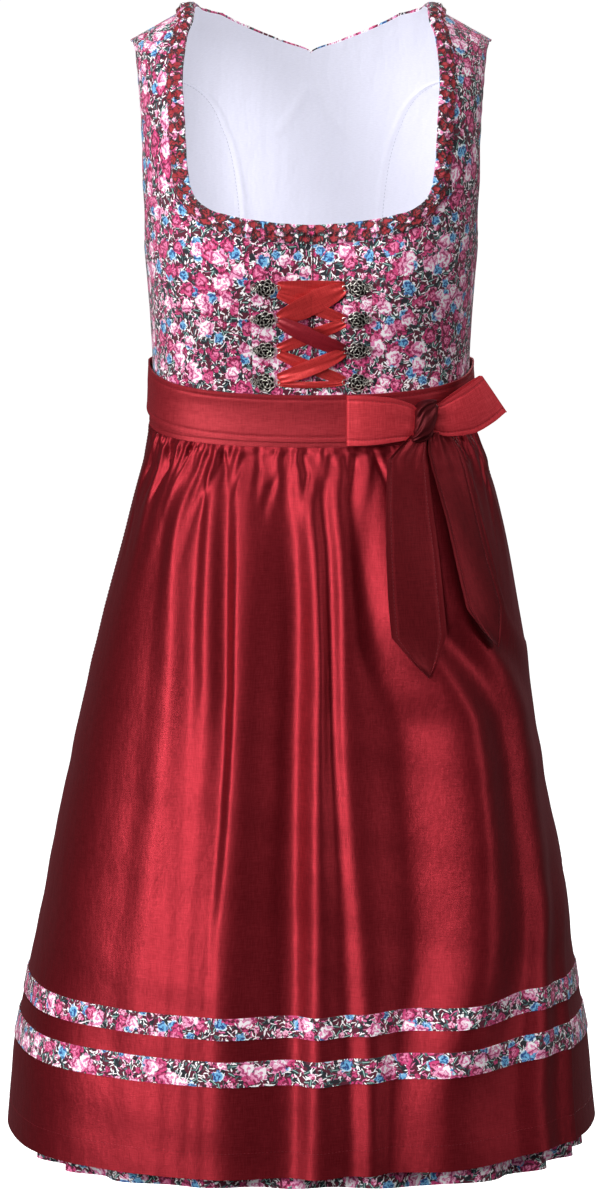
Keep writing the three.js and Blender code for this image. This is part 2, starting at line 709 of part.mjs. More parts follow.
// Mean apron surface with its direction outwards in plan
function skirtPlace(angle, z) {
  const names = ["half", "front", "back", "shift", "inset"];
  const [half, front, back, shift, inset] = tableAt(SKIRT_ROWS, z, names);
  const shape = section(angle);
  const depth = shape.front > 0 ? front : back;
  const point = new THREE.Vector3(shift + half * shape.side, BODY_CENTRE - depth * shape.front, z);
  const out = new THREE.Vector3(depth * Math.sin(radians(angle)), -half * Math.cos(radians(angle)), 0);
  return { point, out: out.normalize(), half, shift, inset };
}

function pairAt({ point, out }, lift, thickness) {
  return {
    outer: point.clone().addScaledVector(out, lift),
    inner: point.clone().addScaledVector(out, lift - thickness),
  };
}

function broadWave(angle) {
  const a = radians(angle);
  return Math.cos(SKIRT_WAVES * a + 0.8 * Math.sin(3 * a + 1) + 0.6 * Math.sin(7 * a));
}

function skirtHem(angle) {
  const share = (1 - Math.cos(radians(angle))) / 2;
  const fromFront = Math.abs(Math.min(angle, 360 - angle));
  const side = Math.max(1 - Math.abs(fromFront - HEM_LIFT.angle) / HEM_LIFT.spread, 0);
  return mix(SKIRT_HEM_FRONT, SKIRT_HEM_BACK, share) + HEM_WAVE * broadWave(angle) + HEM_LIFT.rise * side;
}

// Behind the waistband the skirt hugs the waist form, and below it the skirt stands away
function skirtWall(angle, z, column, waves) {
  const [size] = tableAt(SKIRT_GATHERS, z, ["size"]);
  const [wave] = tableAt(waves, z, ["size"]);
  const gather = waves === BACK_WAVES && column % 2 === 1 ? size : 0;
  const lift = wave * broadWave(angle) + gather;
  if (z > BAND_BOTTOM) {
    return bodiceWall(angle, z, FRONT_DOME, gather - SEAT_INSET, gather - SEAT_INSET - SKIRT_WALL);
  }
  const place = skirtPlace(angle, z);
  return pairAt(place, lift - place.inset, SKIRT_WALL);
}

function skirtGrid(from, to, columns, levels, waves) {
  const rows = levels.map((level) =>
    Array.from({ length: columns + 1 }, (_, c) => {
      const angle = mix(from + SEAM_ANGLE, to - SEAM_ANGLE, c / columns);
      const z = mix(WAIST_SEAM - SEAM_GAP, skirtHem(angle), level);
      return skirtWall(angle, z, c, waves);
    }),
  );
  return { rows, flip: true };
}

function addSkirt() {
  const front = skirtGrid(-90, 90, SKIRT_FRONT_COLUMNS, SKIRT_FRONT_LEVELS, FRONT_WAVES);
  const left = skirtGrid(90, 180, SKIRT_BACK_COLUMNS, SKIRT_BACK_LEVELS, BACK_WAVES);
  const right = skirtGrid(180, 270, SKIRT_BACK_COLUMNS, SKIRT_BACK_LEVELS, BACK_WAVES);
  addPiece("skirt_front", wall(front), FLORAL);
  addPiece("skirt_back_left", wall(left), FLORAL);
  addPiece("skirt_back_right", wall(right), FLORAL);
}

function foldValue(fold, key, z) {
  const levels = FOLD_LEVELS.map((level, i) => ({ z: level, value: fold[key][i] }));
  return tableAt(levels, z, ["value"])[0];
}

// Lift of the large folds at a distance across: smooth from each valley to the next crest
function foldLift(x, z) {
  const lines = APRON_FOLDS.map((fold) => ({
    across: foldValue(fold, "across", z),
    lift: foldValue(fold, "lift", z),
  }));
  let index = 0;
  while (index < lines.length - 2 && lines[index + 1].across < x) {
    index += 1;
  }
  const [from, to] = [lines[index], lines[index + 1]];
  const t = Math.min(Math.max((x - from.across) / (to.across - from.across), 0), 1);
  return mix(from.lift, to.lift, t * t * (3 - 2 * t));
}

// The apron hangs from the waistband's dipped edge to a hem that is not quite level
function apronHeight(angle, z) {
  const hem = tableAt(HEM_RISE.map((row) => ({ z: row.angle, rise: row.rise })), angle, ["rise"])[0];
  const top = bandEdge(WAISTBAND_BOTTOM, angle) - WAISTBAND_BOTTOM.front;
  const upper = Math.max((z - APRON_MIDDLE) / (APRON_TOP - APRON_MIDDLE), 0);
  const lower = Math.min(Math.max((APRON_MIDDLE - z) / (APRON_MIDDLE - STRIPE_TOP), 0), 1);
  return z + top * upper + hem * lower;
}

function apronWall(column, level, outerLift, thickness) {
  const [left, right] = tableAt(APRON_EDGES, level, ["left", "right"]);
  const angle = mix(left, right, column / APRON_COLUMNS);
  const z = apronHeight(angle, level);
  const place = skirtPlace(angle, z);
  const [gather] = tableAt(GATHER_FADE, level, ["size"]);
  const zigzag = column % 2 === 0 ? -gather : gather;
  const start = Math.min((APRON_TOP - level) / FOLD_START, 1);
  const lift = (foldLift(place.point.x, z) - FOLD_MEAN) * start + zigzag;
  return pairAt(place, lift + outerLift, thickness);
}

function apronGrid(heights, outerLift, thickness) {
  const rows = heights.map((z) =>
    Array.from({ length: APRON_COLUMNS + 1 }, (_, column) => apronWall(column, z, outerLift, thickness)),
  );
  return { rows, flip: true };
}

function addApron() {
  addPiece("apron_panel", wall(apronGrid(APRON_HEIGHTS, 0, APRON_WALL)), TAFFETA);
  for (const { name, top } of STRIPE_ROWS) {
    const heights = APRON_HEIGHTS.slice(top, top + 2);
    const lift = SEAM_GAP + STRIPE_WALL;
    addPiece(`apron_stripe_${name}`, wall(apronGrid(heights, lift, STRIPE_WALL)), FLORAL);
  }
}

// Flat band that follows the waist form between two heights, closed if it goes all round
function waistBand(from, to, topAt, bottomAt, lift) {
  const columns = (to - from) / BAND_STEP;
  const levels = 2;
  const rows = Array.from({ length: levels + 1 }, (_, r) =>
    Array.from({ length: columns + 1 }, (_, c) => {
      const angle = mix(from, to, c / columns);
      const z = mix(bottomAt(angle), topAt(angle), r / levels);
      return bodiceWall(angle, z, FRONT_DOME, lift + BAND_WALL, lift);
    }),
  );
  if (to - from === 360) {
    rows.forEach((row) => row.splice(-1, 1, row[0]));
  }
  return { rows };
}

// Height of a band's edge, which dips at the front and is level from the side seams back
function bandEdge(edge, angle) {
  const turn = Math.min(Math.abs(angle), 90);
  return edge.front + edge.rise * (1 - Math.cos(radians(turn)));
}

function addBands() {
  const { left, right } = WAISTBAND_ENDS;
  const bottomAt = (angle) => bandEdge(WAISTBAND_BOTTOM, angle);
  addPiece("apron_waistband", wall(waistBand(left, right, () => WAISTBAND_TOP, bottomAt, SEAM_GAP)), TAFFETA);
  const tieTop = (angle) => bandEdge(TIE_TOP, angle);
  const tieBottom = (angle) => bandEdge(TIE_BOTTOM, angle);
  addPiece("tie_band", wall(waistBand(-180, 180, tieTop, tieBottom, TIE_LIFT)), TAFFETA);
}

// Bow, built round its knot: along the waist, up, and out from the body

function knotFrame() {
  const { point, across, normal } = bodiceFrame(KNOT_ANGLE, KNOT_HEIGHT, FRONT_DOME);
  const along = new THREE.Vector3(across.x, across.y, 0).normalize();
  const out = new THREE.Vector3(normal.x, normal.y, 0).normalize();
  const centre = point.clone().addScaledVector(out, KNOT_LIFT);
  return { along, out, centre };
}

function roundBox(value, power) {
  return Math.sign(value) * Math.abs(value) ** power;
}

function addKnot() {
  const { along, out, centre } = knotFrame();
  const geometry = new THREE.SphereGeometry(1, 14, 9);
  geometry.deleteAttribute("normal");
  geometry.deleteAttribute("uv");
  const closed = mergeVertices(geometry, 1e-5);
  const position = closed.getAttribute("position");
  for (let i = 0; i < position.count; i += 1) {
    const side = roundBox(position.getX(i), 0.6) * KNOT_HALF.across;
    const rise = roundBox(position.getY(i), 0.6) * KNOT_HALF.height;
    const depth = roundBox(position.getZ(i), 0.6) * KNOT_HALF.depth;
    const point = centre.clone().addScaledVector(along, side).addScaledVector(out, depth);
    position.setXYZ(i, point.x, point.y, point.z + rise);
  }
  addPiece("bow_knot", closed, TAFFETA);
}

// A loop is a band that goes out and comes back: stations give the distance from the knot of its
// upper and lower edge, their heights, and half the opening between its two layers.
const LEFT_LOOP = [
  { upper: 13.3, lower: 13.3, top: -341, bottom: -373, gap: 2 },
  { upper: 24, lower: 24, top: -338, bottom: -375.5, gap: 3.6 },
  { upper: 36, lower: 36, top: -335.5, bottom: -377, gap: 4.6 },
  { upper: 47, lower: 47, top: -334, bottom: -378, gap: 4.2 },
  { upper: 56, lower: 56, top: -334, bottom: -378, gap: 2.4 },
];
const RIGHT_LOOP = [
  { upper: 13, lower: 13, top: -343, bottom: -370, gap: 2 },
  { upper: 22, lower: 27, top: -339, bottom: -372, gap: 3.6 },
  { upper: 34, lower: 46, top: -332, bottom: -370, gap: 5 },
  { upper: 46, lower: 64, top: -325, bottom: -362, gap: 4.6 },
  { upper: 54, lower: 78, top: -320, bottom: -353, gap: 2.4 },
];
const LOOP_ROWS = 3;

function loopPath(stations) {
  const front = stations.map((station) => ({ ...station, side: 1 }));
  const last = stations[stations.length - 1];
  const tip = { ...last, upper: last.upper + 2, lower: last.lower + 2, side: 0 };
  return [...front, tip, ...stations.map((station) => ({ ...station, side: -1 })).reverse()];
}

function addLoop(name, stations, place, flip) {
  const path = loopPath(stations);
  const middle = (path.length - 1) / 2;
  const rows = Array.from({ length: LOOP_ROWS + 1 }, (_, r) =>
    path.map((station, i) => {
      const t = r / LOOP_ROWS;
      const distance = mix(station.lower, station.upper, t);
      const z = mix(station.bottom, station.top, t);
      const layer = station.side * station.gap;
      const outer = place(distance, z, layer);
      if (i === middle) {
        return { outer, inner: place(distance - APRON_WALL, z, 0) };
      }
      return { outer, inner: place(distance, z, layer - station.side * APRON_WALL) };
    }),
  );
  addPiece(name, wall({ rows, flip }), TAFFETA);
}

function addLoops() {
  const { along, out, centre } = knotFrame();
  const straight = (distance, z, lift) => {
    const point = centre.clone().addScaledVector(along, distance).addScaledVector(out, lift);
    return point.setZ(z);
  };
  const onWaist = (distance, z, lift) => {
    const angle = KNOT_ANGLE - distance / WAIST_PER_DEGREE;
    const { point, normal } = bodiceFrame(angle, KNOT_HEIGHT, FRONT_DOME);
    return point.addScaledVector(normal, KNOT_LIFT + lift).setZ(z);
  };
  addLoop("bow_loop_centre", LEFT_LOOP, onWaist, true);
  addLoop("bow_loop_side", RIGHT_LOOP, straight, false);
}

// Tails: left and right edge across, in plan, going down to a point, and the lift off the apron
const CENTRE_TAIL = [
  { z: -376.3, left: 86, right: 98, lift: 9 },
  { z: -390, left: 64, right: 99, lift: 9 },
  { z: -430, left: 62, right: 104, lift: 9.5 },
  { z: -470, left: 62, right: 109, lift: 10 },
  { z: -508, left: 64, right: 112, lift: 10 },
  { z: -541, left: 67, right: 115, lift: 10 },
  { z: -562, left: 84, right: 108, lift: 10 },
  { z: -577, left: 98, right: 101, lift: 10 },
];
const SIDE_TAIL = [
  { z: -376.3, left: 99.5, right: 117, lift: 8 },
  { z: -400, left: 102, right: 135, lift: 7 },
  { z: -440, left: 112, right: 146, lift: 7 },
  { z: -480, left: 121, right: 155, lift: 7 },
  { z: -520, left: 131, right: 166, lift: 7 },
  { z: -541, left: 146, right: 164, lift: 7 },
  { z: -556, left: 158.5, right: 161.5, lift: 7 },
];
const TAIL_COLUMNS = 3;

function addTail(name, stations) {
  const rows = stations.map(({ z, left, right, lift }) =>
    Array.from({ length: TAIL_COLUMNS + 1 }, (_, c) => {
      const x = mix(left, right, c / TAIL_COLUMNS);
      const { half, shift } = skirtPlace(0, z);
      const place = skirtPlace(angleAt((x - shift) / half), z);
      return pairAt(place, lift, APRON_WALL);
    }),
  );
  addPiece(name, wall({ rows, flip: true }), TAFFETA);
}

function addBow() {
  addKnot();
  addLoops();
  addTail("bow_tail_centre", CENTRE_TAIL);
  addTail("bow_tail_side", SIDE_TAIL);
}

addBodice();
addLining();
addTrim();
addLacing();
addSkirt();
addApron();
addBands();
addBow();

export default group;
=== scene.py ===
import json
import math

import bpy
import numpy as np
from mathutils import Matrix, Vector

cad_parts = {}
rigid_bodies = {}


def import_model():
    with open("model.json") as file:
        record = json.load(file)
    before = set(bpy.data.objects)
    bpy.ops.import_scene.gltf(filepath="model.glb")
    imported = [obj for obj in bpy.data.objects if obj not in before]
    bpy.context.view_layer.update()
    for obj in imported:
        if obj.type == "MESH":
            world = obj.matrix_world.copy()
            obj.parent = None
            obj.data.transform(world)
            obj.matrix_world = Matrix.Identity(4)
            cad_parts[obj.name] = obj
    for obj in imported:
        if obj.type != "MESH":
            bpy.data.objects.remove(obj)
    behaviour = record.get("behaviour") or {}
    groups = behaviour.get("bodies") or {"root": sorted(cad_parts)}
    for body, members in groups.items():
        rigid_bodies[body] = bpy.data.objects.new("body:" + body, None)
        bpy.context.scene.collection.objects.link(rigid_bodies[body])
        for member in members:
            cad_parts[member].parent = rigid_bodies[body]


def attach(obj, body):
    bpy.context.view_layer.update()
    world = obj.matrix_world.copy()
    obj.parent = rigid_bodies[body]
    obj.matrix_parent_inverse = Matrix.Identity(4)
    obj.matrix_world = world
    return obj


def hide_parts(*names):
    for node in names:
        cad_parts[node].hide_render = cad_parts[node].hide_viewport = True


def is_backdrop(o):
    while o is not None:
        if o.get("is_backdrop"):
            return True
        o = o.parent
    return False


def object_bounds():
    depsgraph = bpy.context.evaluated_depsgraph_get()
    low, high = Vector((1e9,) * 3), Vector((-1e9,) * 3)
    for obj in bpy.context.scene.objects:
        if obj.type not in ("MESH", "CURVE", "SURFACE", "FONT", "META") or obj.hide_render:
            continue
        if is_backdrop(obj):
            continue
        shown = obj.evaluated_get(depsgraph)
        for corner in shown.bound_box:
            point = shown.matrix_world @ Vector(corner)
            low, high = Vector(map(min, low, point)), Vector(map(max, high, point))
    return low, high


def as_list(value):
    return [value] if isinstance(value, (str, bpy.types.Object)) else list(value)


# Dirndl with laced bodice, gathered skirt, taffeta apron, tie and bow, filled out as worn.
# Forms are worked out in millimetres and become metres when a mesh is made. The front faces -Y.
# Angles run round the dress in degrees: 0 is centre front, 90 the wearer's left, 180 centre back.

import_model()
CAD_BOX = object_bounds()
MM = 0.001
MIRROR = np.array([-1.0, 1.0, 1.0])
SHARP_EDGE = 60
STITCH_LENGTH = 2.3
STITCH_GAP = 1.1
STITCH_BEND = np.array([-1.2, 0.5, 0.8, 0.5, -1.2])[:, None]
STITCH_PLACES = np.array([0, 0.2, 0.5, 0.8, 1])

# Walls and gaps
BODICE_WALL = 1.8
LINING_WALL = 0.9
SKIRT_WALL = 1.2
APRON_WALL = 1.0
BAND_WALL = 1.5
SEAM_GAP = 0.3
SEAM_ANGLE = 0.004
STRIPE_WALL = 0.8
BOW_WALL = 0.7
RIBBON_WALL = 0.35
RIBBON_LIFT = 0.9

# Heights
WAIST_SEAM = -345.0
BAND_BOTTOM = -376.0
WAISTBAND_BOTTOM = (-380.0, 14.5)
APRON_TOP = WAISTBAND_BOTTOM[0] - SEAM_GAP
APRON_MIDDLE = -640.0
STRIPE_TOP = -867.0
APRON_HEM = -1008.0
SKIRT_HEM_FRONT = -1023.0
SKIRT_HEM_BACK = -1038.0

# Shoulder ridge and the domes that close over it
RIDGE_DEPTH = 12.0
RIDGE_HALF = 163.0
RIDGE_TOP = 3.0
RIDGE_START = 105.0
RIDGE_NECK = 80.0
SHOULDER_SLOPE = 0.56
FRONT_DOME = {"start": -150.0, "length": 165.0, "side": -1}
BACK_DOME = {"start": -110.0, "length": 140.0, "side": 1}

BUST = {"across": 76, "height": -222, "spread": 42, "rise": 48, "depth": 24, "base": 0.12}
BODY_CENTRE = -5.0
SQUARENESS = 0.05
# Half width, depth to the front and to the back of the rings that give lengths across the cloth
BODICE_RING = (148, 118, 104)
WAIST_RING = (147, 108, 98)
APRON_RING = (230, 195, 190)

# Bodice sections: height, half width, depth to the front and to the back
BODICE_ROWS = np.array([
    (-380, 145, 104, 94),
    (-345, 143, 102, 92),
    (-315, 142, 106, 96),
    (-280, 143.5, 113, 101),
    (-245, 146, 119, 105),
    (-210, 149, 121, 107),
    (-180, 151, 120, 106),
    (-150, 153.5, 117, 104),
    (-110, 155, 113, 102),
])

# Apron and skirt sections: height, half width, front, back, shift across, skirt's inset
SKIRT_ROWS = np.array([
    (-376, 148, 108, 98, 0, 4.4),
    (-390, 152, 112, 103, 2, 7.5),
    (-404, 156, 118, 109, 3.5, 9.5),
    (-458, 170, 136, 128, 3.5, 12),
    (-540, 189, 156, 152, 0.5, 15),
    (-622, 206, 172, 170, -2, 16),
    (-705, 221.5, 187, 186, -3.5, 17),
    (-787, 237, 200, 199, -5.5, 18),
    (-871, 251.5, 212, 209, -8, 20),
    (-954, 265, 222, 217, -8.5, 23),
    (-1040, 272, 230, 223, -7, 27),
])[::-1]

# Front panels, bottom to top: inner edge angle and height, outer edge angle and height
FRONT_ROWS = np.array([
    (17.7, -344.8, 90, -344.8),
    (17.7, -312, 90, -312),
    (17.7, -280, 90, -280),
    (17.7, -252, 90, -246),
    (17.7, -227, 90, -214),
    (17.7, -203, 84, -206),
    (17.7, -180.1, 79, -194),
    (24.9, -176.4, 76.5, -182),
    (30, -172.3, 74.6, -168),
    (34.2, -165.6, 73.5, -152),
    (37.3, -155, 73, -134),
    (39.3, -135.3, 73.4, -113),
    (39.9, -110.4, 74.6, -90),
    (40.5, -82.6, 76, -66),
    (39.4, -62, 76.6, -42),
    (37.7, -42, 77.3, -20),
    (35, -22, 78.2, 0),
    (34, 15, 79, 15),
])
CENTRE_FRONT_HEIGHTS = np.array([-344.8, -314, -284, -256, -232, -208, -185.3])

# Back panels, bottom to top, angles from centre back: centre edge, princess seam, side edge
BACK_ROWS = np.array([
    (0, -344.8, 19, -344.8, 90, -344.8),
    (0, -312, 19.8, -312, 90, -312),
    (0, -280, 20.5, -280, 90, -280),
    (0, -246, 21.1, -246, 90, -246),
    (0, -214, 21.6, -214, 90, -214),
    (0, -182, 22, -182, 83, -202),
    (0, -153, 23, -150, 78.5, -185),
    (0, -126, 25.5, -120, 75.8, -160),
    (0, -102, 31, -94, 74.4, -132),
    (0, -84, 42, -75, 74.2, -106),
    (0, -72, 57, -65, 74.6, -86),
    (0, -63.3, 70, -61, 75.6, -68),
    (8, -53, 75.7, -52, 75.7, -52),
    (16, -42, 75.9, -30, 75.9, -30),
    (25, -26, 76.5, -5, 76.5, -5),
    (32.5, 0, 77.8, 17, 77.8, 17),
    (34, 30, 79, 30, 79, 30),
])
# Rows put in for each row of a panel, the last row of the side back, and the angles that tell a
# princess seam from the neckline and a side seam from the armhole
REFINE = 6
SIDE_BACK_LAST = 11
PRINCESS_ANGLE = 17.75
SIDE_ANGLE = 89.9
NECKLINE_LEAD = [(0, -185.3), (7, -184.2), (13, -182.2)]

# Lacing
ORNAMENT_ACROSS = 40.0
ORNAMENT_HEIGHTS = [-238, -266, -294, -322.5]
EYE_ACROSS = 28.5

# Ruched neck trim: puffs from centre front to centre back, and the rows of mouths as offset and place
TRIM_WIDTH = 17.0
TRIM_PITCH = 17.0
TRIM_PUFFS = 34
TRIM_RISE = 2.5
TRIM_STEPS = 16
MOUTH_ROWS = ((0.0, 0.26), (0.12, 0.74))
MOUTH_LENGTH = 0.4
MOUTH_WIDTH = 0.27
TRIM_LIFT = 0.6

# Tie band and bow
TIE_TOP = (-334.0, 21.0)
TIE_BOTTOM = (-376.0, 22.5)
TIE_LIFT = 2.4
TIE_WIDTH = 40
STITCH_INSET = 4.2
DIP_DEPTH = 0.5
DIP_WIDTH = 0.9
KNOT_ANGLE = 35.5
KNOT_HEIGHT = -358.0
WAIST_PER_DEGREE = 2.28
KNOT_LIFT = 10.2
KNOT_HALF = (10.5, 8.5, 19.0)
KNOT_LEAN = 7.0
LOOP_ROWS = 41
TAIL_ROWS = 110
BOW_COLUMNS = 49
BOW_STITCHES = (5, -6)

# Apron: its edges as height, left and right angle, and the hem's rise at angles
APRON_EDGES = np.array([(-1010, -98, 98), (-450, -90, 92), (-376, -79, 86)])
STRIPES = [("apron_stripe_upper", STRIPE_TOP, -886), ("apron_stripe_lower", -905, -927)]
HEM_DEPTH = 23.0
APRON_COLUMNS = 331
APRON_ROWS = 141
STRIPE_ROWS = 13
SIDE_STITCHES = (0.006, 0.994)
HEM_ANGLES = (-98, -75, -60, -30, 0, 15, 33, 50, 75, 98)
HEM_RISE = (2, 6, 4, 0, -2, 2, 6, 12, 12, 6)
# Crest and valley lines of the large folds, left to right: distance across and lift at nine heights
FOLD_LEVELS = np.array([-1000, -951, -804, -740, -623, -586, -522, -474, -422])
APRON_FOLDS = [
    ((-262, -258, -240, -230, -206, -198, -176, -164, -146), (0, 0, 0, 0, 0, 0, 0, 0, 0)),
    ((-190, -186, -178, -168, -154, -148, -142, -136, -132), (-3, -3, -4, -4, -2.5, -2, -2, -2, -1)),
    ((-150, -148, -140, -136, -126, -124, -122, -121, -114), (0.4, 0.5, 1, 1.5, 2, 2.5, 3, 3, 2)),
    ((-132, -130, -120, -116, -109, -107, -106, -103, -100), (2, 2.5, 3.2, 2, -0.5, -2, -2.5, -2.5, -2)),
    ((-112, -110, -102, -98, -92, -91, -91, -90, -86), (4, 5, 5.8, 4, 2.5, 3, 3.5, 3, 2.5)),
    ((-98, -96, -90, -84, -77, -76, -76, -76, -74), (5.5, 6.5, 7.2, 4, -0.5, -2, -2.5, -2.5, -2)),
    ((-80, -80, -78, -72, -65, -64, -63, -62, -62), (8, 9, 11, 11, 10.5, 9.5, 8, 6, 4)),
    ((-20, -18, -17, -17, -16, -15, -14, -16, -22), (-7, -8, -11, -11.5, -10.5, -10, -9, -7, -4)),
    ((4, 5, 6, 6, 7, 8, 6, 4, -2), (4, 4, 4, 4.5, 5, 5, 4, 4, 3)),
    ((36, 35, 30, 26, 19, 18, 17, 15, 10), (-5, -5, -4, -4, -4, -4, -4, -3, -2)),
    ((52, 52, 44, 38, 30, 29, 28, 26, 21), (3, 3, 1, 1, 1.5, 2, 3, 3, 3)),
    ((72, 74, 92, 88, 80, 66, 52, 44, 36), (-6, -7, -12, -12, -10.5, -8, -5, -4, -3)),
    ((120, 120, 150, 148, 138, 120, 76, 70, 62), (7, 7, 12, 12, 11, 9, 5, 4, 3)),
    ((186, 182, 192, 186, 172, 154, 110, 94, 84), (-4, -4, -5, -5, -5, -4, -4, -3, -2)),
    ((208, 204, 208, 204, 190, 176, 132, 118, 106), (2, 2, 2, 2, 2, 2, 3, 3, 3)),
    ((224, 220, 218, 216, 202, 190, 154, 140, 126), (-2, -2, -2, -2, -2, -2, -2, -2, -2)),
    ((238, 234, 228, 228, 212, 202, 172, 160, 143), (2, 2, 1, 1, 1, 1, 1, 1, 1)),
]
FOLD_MEAN = 1.5
SKIRT_WAVES = 22
BACK_GATHERS = 26
# Depths at heights of the skirt's gathers and of its broad waves
GATHER_SIZES = ((-640, 0), (-560, 0.8), (-450, 2.2), (-392, 3), (-372, 2.2), (-358, 1.0), (-345, 0))
BACK_WAVES = ((-1040, 13), (-650, 9), (-480, 4), (-390, 0))
FRONT_WAVES = ((-1023, 10), (-880, 3), (-500, 2), (-390, 0))
HEM_LIFT = {"angle": 62, "spread": 40, "rise": 9}
SEAT_INSET = 0.7


# Numbers

def mix(a, b, t):
    return a + (b - a) * t


def step_up(x, low, high):
    t = np.clip((x - low) / (high - low), 0, 1)
    return t * t * (3 - 2 * t)


def curve_through(x, xs, ys):
    """Smooth curve through points with no overshoot; xs ascend."""
    xs = np.asarray(xs, float)
    ys = np.asarray(ys, float)
    secants = np.diff(ys) / np.diff(xs)
    slopes = np.zeros(len(xs))
    before, after = secants[:-1], secants[1:]
    same = before * after > 0
    total = np.where(same, before + after, 1)
    slopes[1:-1] = np.where(same, 2 * before * after / total, 0)
    slopes[0], slopes[-1] = secants[0], secants[-1]
    x = np.clip(x, xs[0], xs[-1])
    i = np.clip(np.searchsorted(xs, x, side="right") - 1, 0, len(xs) - 2)
    width = xs[i + 1] - xs[i]
    t = (x - xs[i]) / width
    rise = ys[i] * (1 + 2 * t) * (1 - t) ** 2 + ys[i + 1] * t * t * (3 - 2 * t)
    return rise + width * t * (1 - t) * (slopes[i] * (1 - t) - slopes[i + 1] * t)


def table_at(table, z, column):
    return curve_through(z, table[:, 0], table[:, column])


def refined(table, factor):
    """The rows of a table with factor - 1 smooth rows between each two."""
    index = np.arange(len(table))
    fine = np.linspace(0, len(table) - 1, (len(table) - 1) * factor + 1)
    return np.stack([curve_through(fine, index, table[:, c]) for c in range(table.shape[1])], axis=1)


def noise_1d(x, seed, period):
    """Smooth random values along x, one new value each period."""
    rng = np.random.default_rng(seed)
    values = rng.uniform(-1, 1, 512)
    place = np.asarray(x) / period + 200
    index = np.floor(place).astype(int)
    t = place - index
    t = t * t * (3 - 2 * t)
    return mix(values[index % 512], values[(index + 1) % 512], t)


# Forms

def section_side(angle):
    a = np.radians(angle)
    return (np.sin(a) + SQUARENESS * np.sin(3 * a)) / (1 - SQUARENESS)


def section_front(angle):
    a = np.radians(angle)
    return (np.cos(a) - SQUARENESS * np.cos(3 * a)) / (1 - SQUARENESS)


ANGLES = np.linspace(-90, 90, 721)
SIDES = section_side(ANGLES)


def angle_at(share):
    return np.interp(share, SIDES, ANGLES)


def arc_of(angle, half, front, back):
    """Length round the section from centre front."""
    turns = np.linspace(0, 180, 361)
    x = half * section_side(turns)
    depth = np.where(section_front(turns) > 0, front, back)
    y = depth * section_front(turns)
    lengths = np.concatenate([[0], np.cumsum(np.hypot(np.diff(x), np.diff(y)))])
    return np.sign(angle) * np.interp(np.abs(angle), turns, lengths)


def ridge_height(x):
    side = np.maximum(np.abs(x), RIDGE_NECK)
    inside = np.maximum(RIDGE_NECK - np.abs(x), 0)
    return RIDGE_TOP - SHOULDER_SLOPE * (side - RIDGE_START) + 0.1 * inside


def bust_fullness(x, front, height):
    across = np.exp(-((np.abs(x) - BUST["across"]) ** 2) / (2 * BUST["spread"] ** 2)) - BUST["base"]
    up = np.exp(-((height - BUST["height"]) ** 2) / (2 * BUST["rise"] ** 2))
    return BUST["depth"] * np.maximum(across, 0) * up * np.sqrt(np.maximum(front, 0))


def bodice_point(angle, height, dome):
    angle, height = np.broadcast_arrays(np.asarray(angle, float), np.asarray(height, float))
    side, front = section_side(angle), section_front(angle)
    base = np.minimum(height, dome["start"])
    half = table_at(BODICE_ROWS, base, 1)
    depth = np.where(front > 0, table_at(BODICE_ROWS, base, 2), table_at(BODICE_ROWS, base, 3))
    turn = np.clip((height - dome["start"]) / dome["length"], 0, 1)
    x = mix(half, RIDGE_HALF, turn ** 1.5) * side
    y = BODY_CENTRE - depth * front - bust_fullness(x, front, mix(base, height, 0.9))
    bend = turn * math.pi / 2
    z = np.where(turn > 0, base + (ridge_height(x) - base) * np.sin(bend), height)
    return np.stack([x, mix(RIDGE_DEPTH, y, np.cos(bend)), z], axis=-1)


def unit(vectors):
    return vectors / np.maximum(np.linalg.norm(vectors, axis=-1, keepdims=True), 1e-9)


def bodice_frame(angle, height, dome):
    step = 0.2
    up = np.minimum(np.asarray(height, float) + step, dome["start"] + dome["length"])
    across = bodice_point(angle + step, height, dome) - bodice_point(angle - step, height, dome)
    along = bodice_point(angle, up, dome) - bodice_point(angle, up - 2 * step, dome)
    normal = unit(np.cross(across, along))
    return bodice_point(angle, height, dome), normal, across / (2 * step), along / (2 * step)


def bodice_walls(angle, height, dome, outer_lift, inner_lift):
    point, normal, _, _ = bodice_frame(angle, height, dome)
    outer = point + normal * np.asarray(outer_lift)[..., None]
    inner = point + normal * np.asarray(inner_lift)[..., None]
    ridge = np.broadcast_to(height, outer.shape[:-1]) > dome["start"] + dome["length"] - SEAM_GAP
    plane = RIDGE_DEPTH + dome["side"] * SEAM_GAP / 2
    outer[ridge, 1] = plane
    inner[ridge, 1] = plane
    return outer, inner


def walls_off(place, out, lift, wall):
    """Outer and inner points of a wall that is lifted off a surface."""
    return place + out * lift[..., None], place + out * (lift - wall)[..., None]


def skirt_place(angle, z):
    angle, z = np.broadcast_arrays(np.asarray(angle, float), np.asarray(z, float))
    half, front, back, shift, inset = (table_at(SKIRT_ROWS, z, c) for c in range(1, 6))
    share = section_front(angle)
    depth = np.where(share > 0, front, back)
    point = np.stack([shift + half * section_side(angle), BODY_CENTRE - depth * share, z], axis=-1)
    a = np.radians(angle)
    out = unit(np.stack([depth * np.sin(a), -half * np.cos(a), np.zeros_like(a)], axis=-1))
    return point, out, inset


# Meshes

def linked(name, data):
    made = bpy.data.objects.new(name, data)
    bpy.context.scene.collection.objects.link(made)
    return made


def place_piece(name, mesh, node=None):
    mesh.polygons.foreach_set("use_smooth", np.ones(len(mesh.polygons), dtype=bool))
    mesh.set_sharp_from_angle(angle=math.radians(SHARP_EDGE))
    mesh.validate()
    piece = linked(name, mesh)
    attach(piece, "root")
    if node:
        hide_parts(node)
    return piece


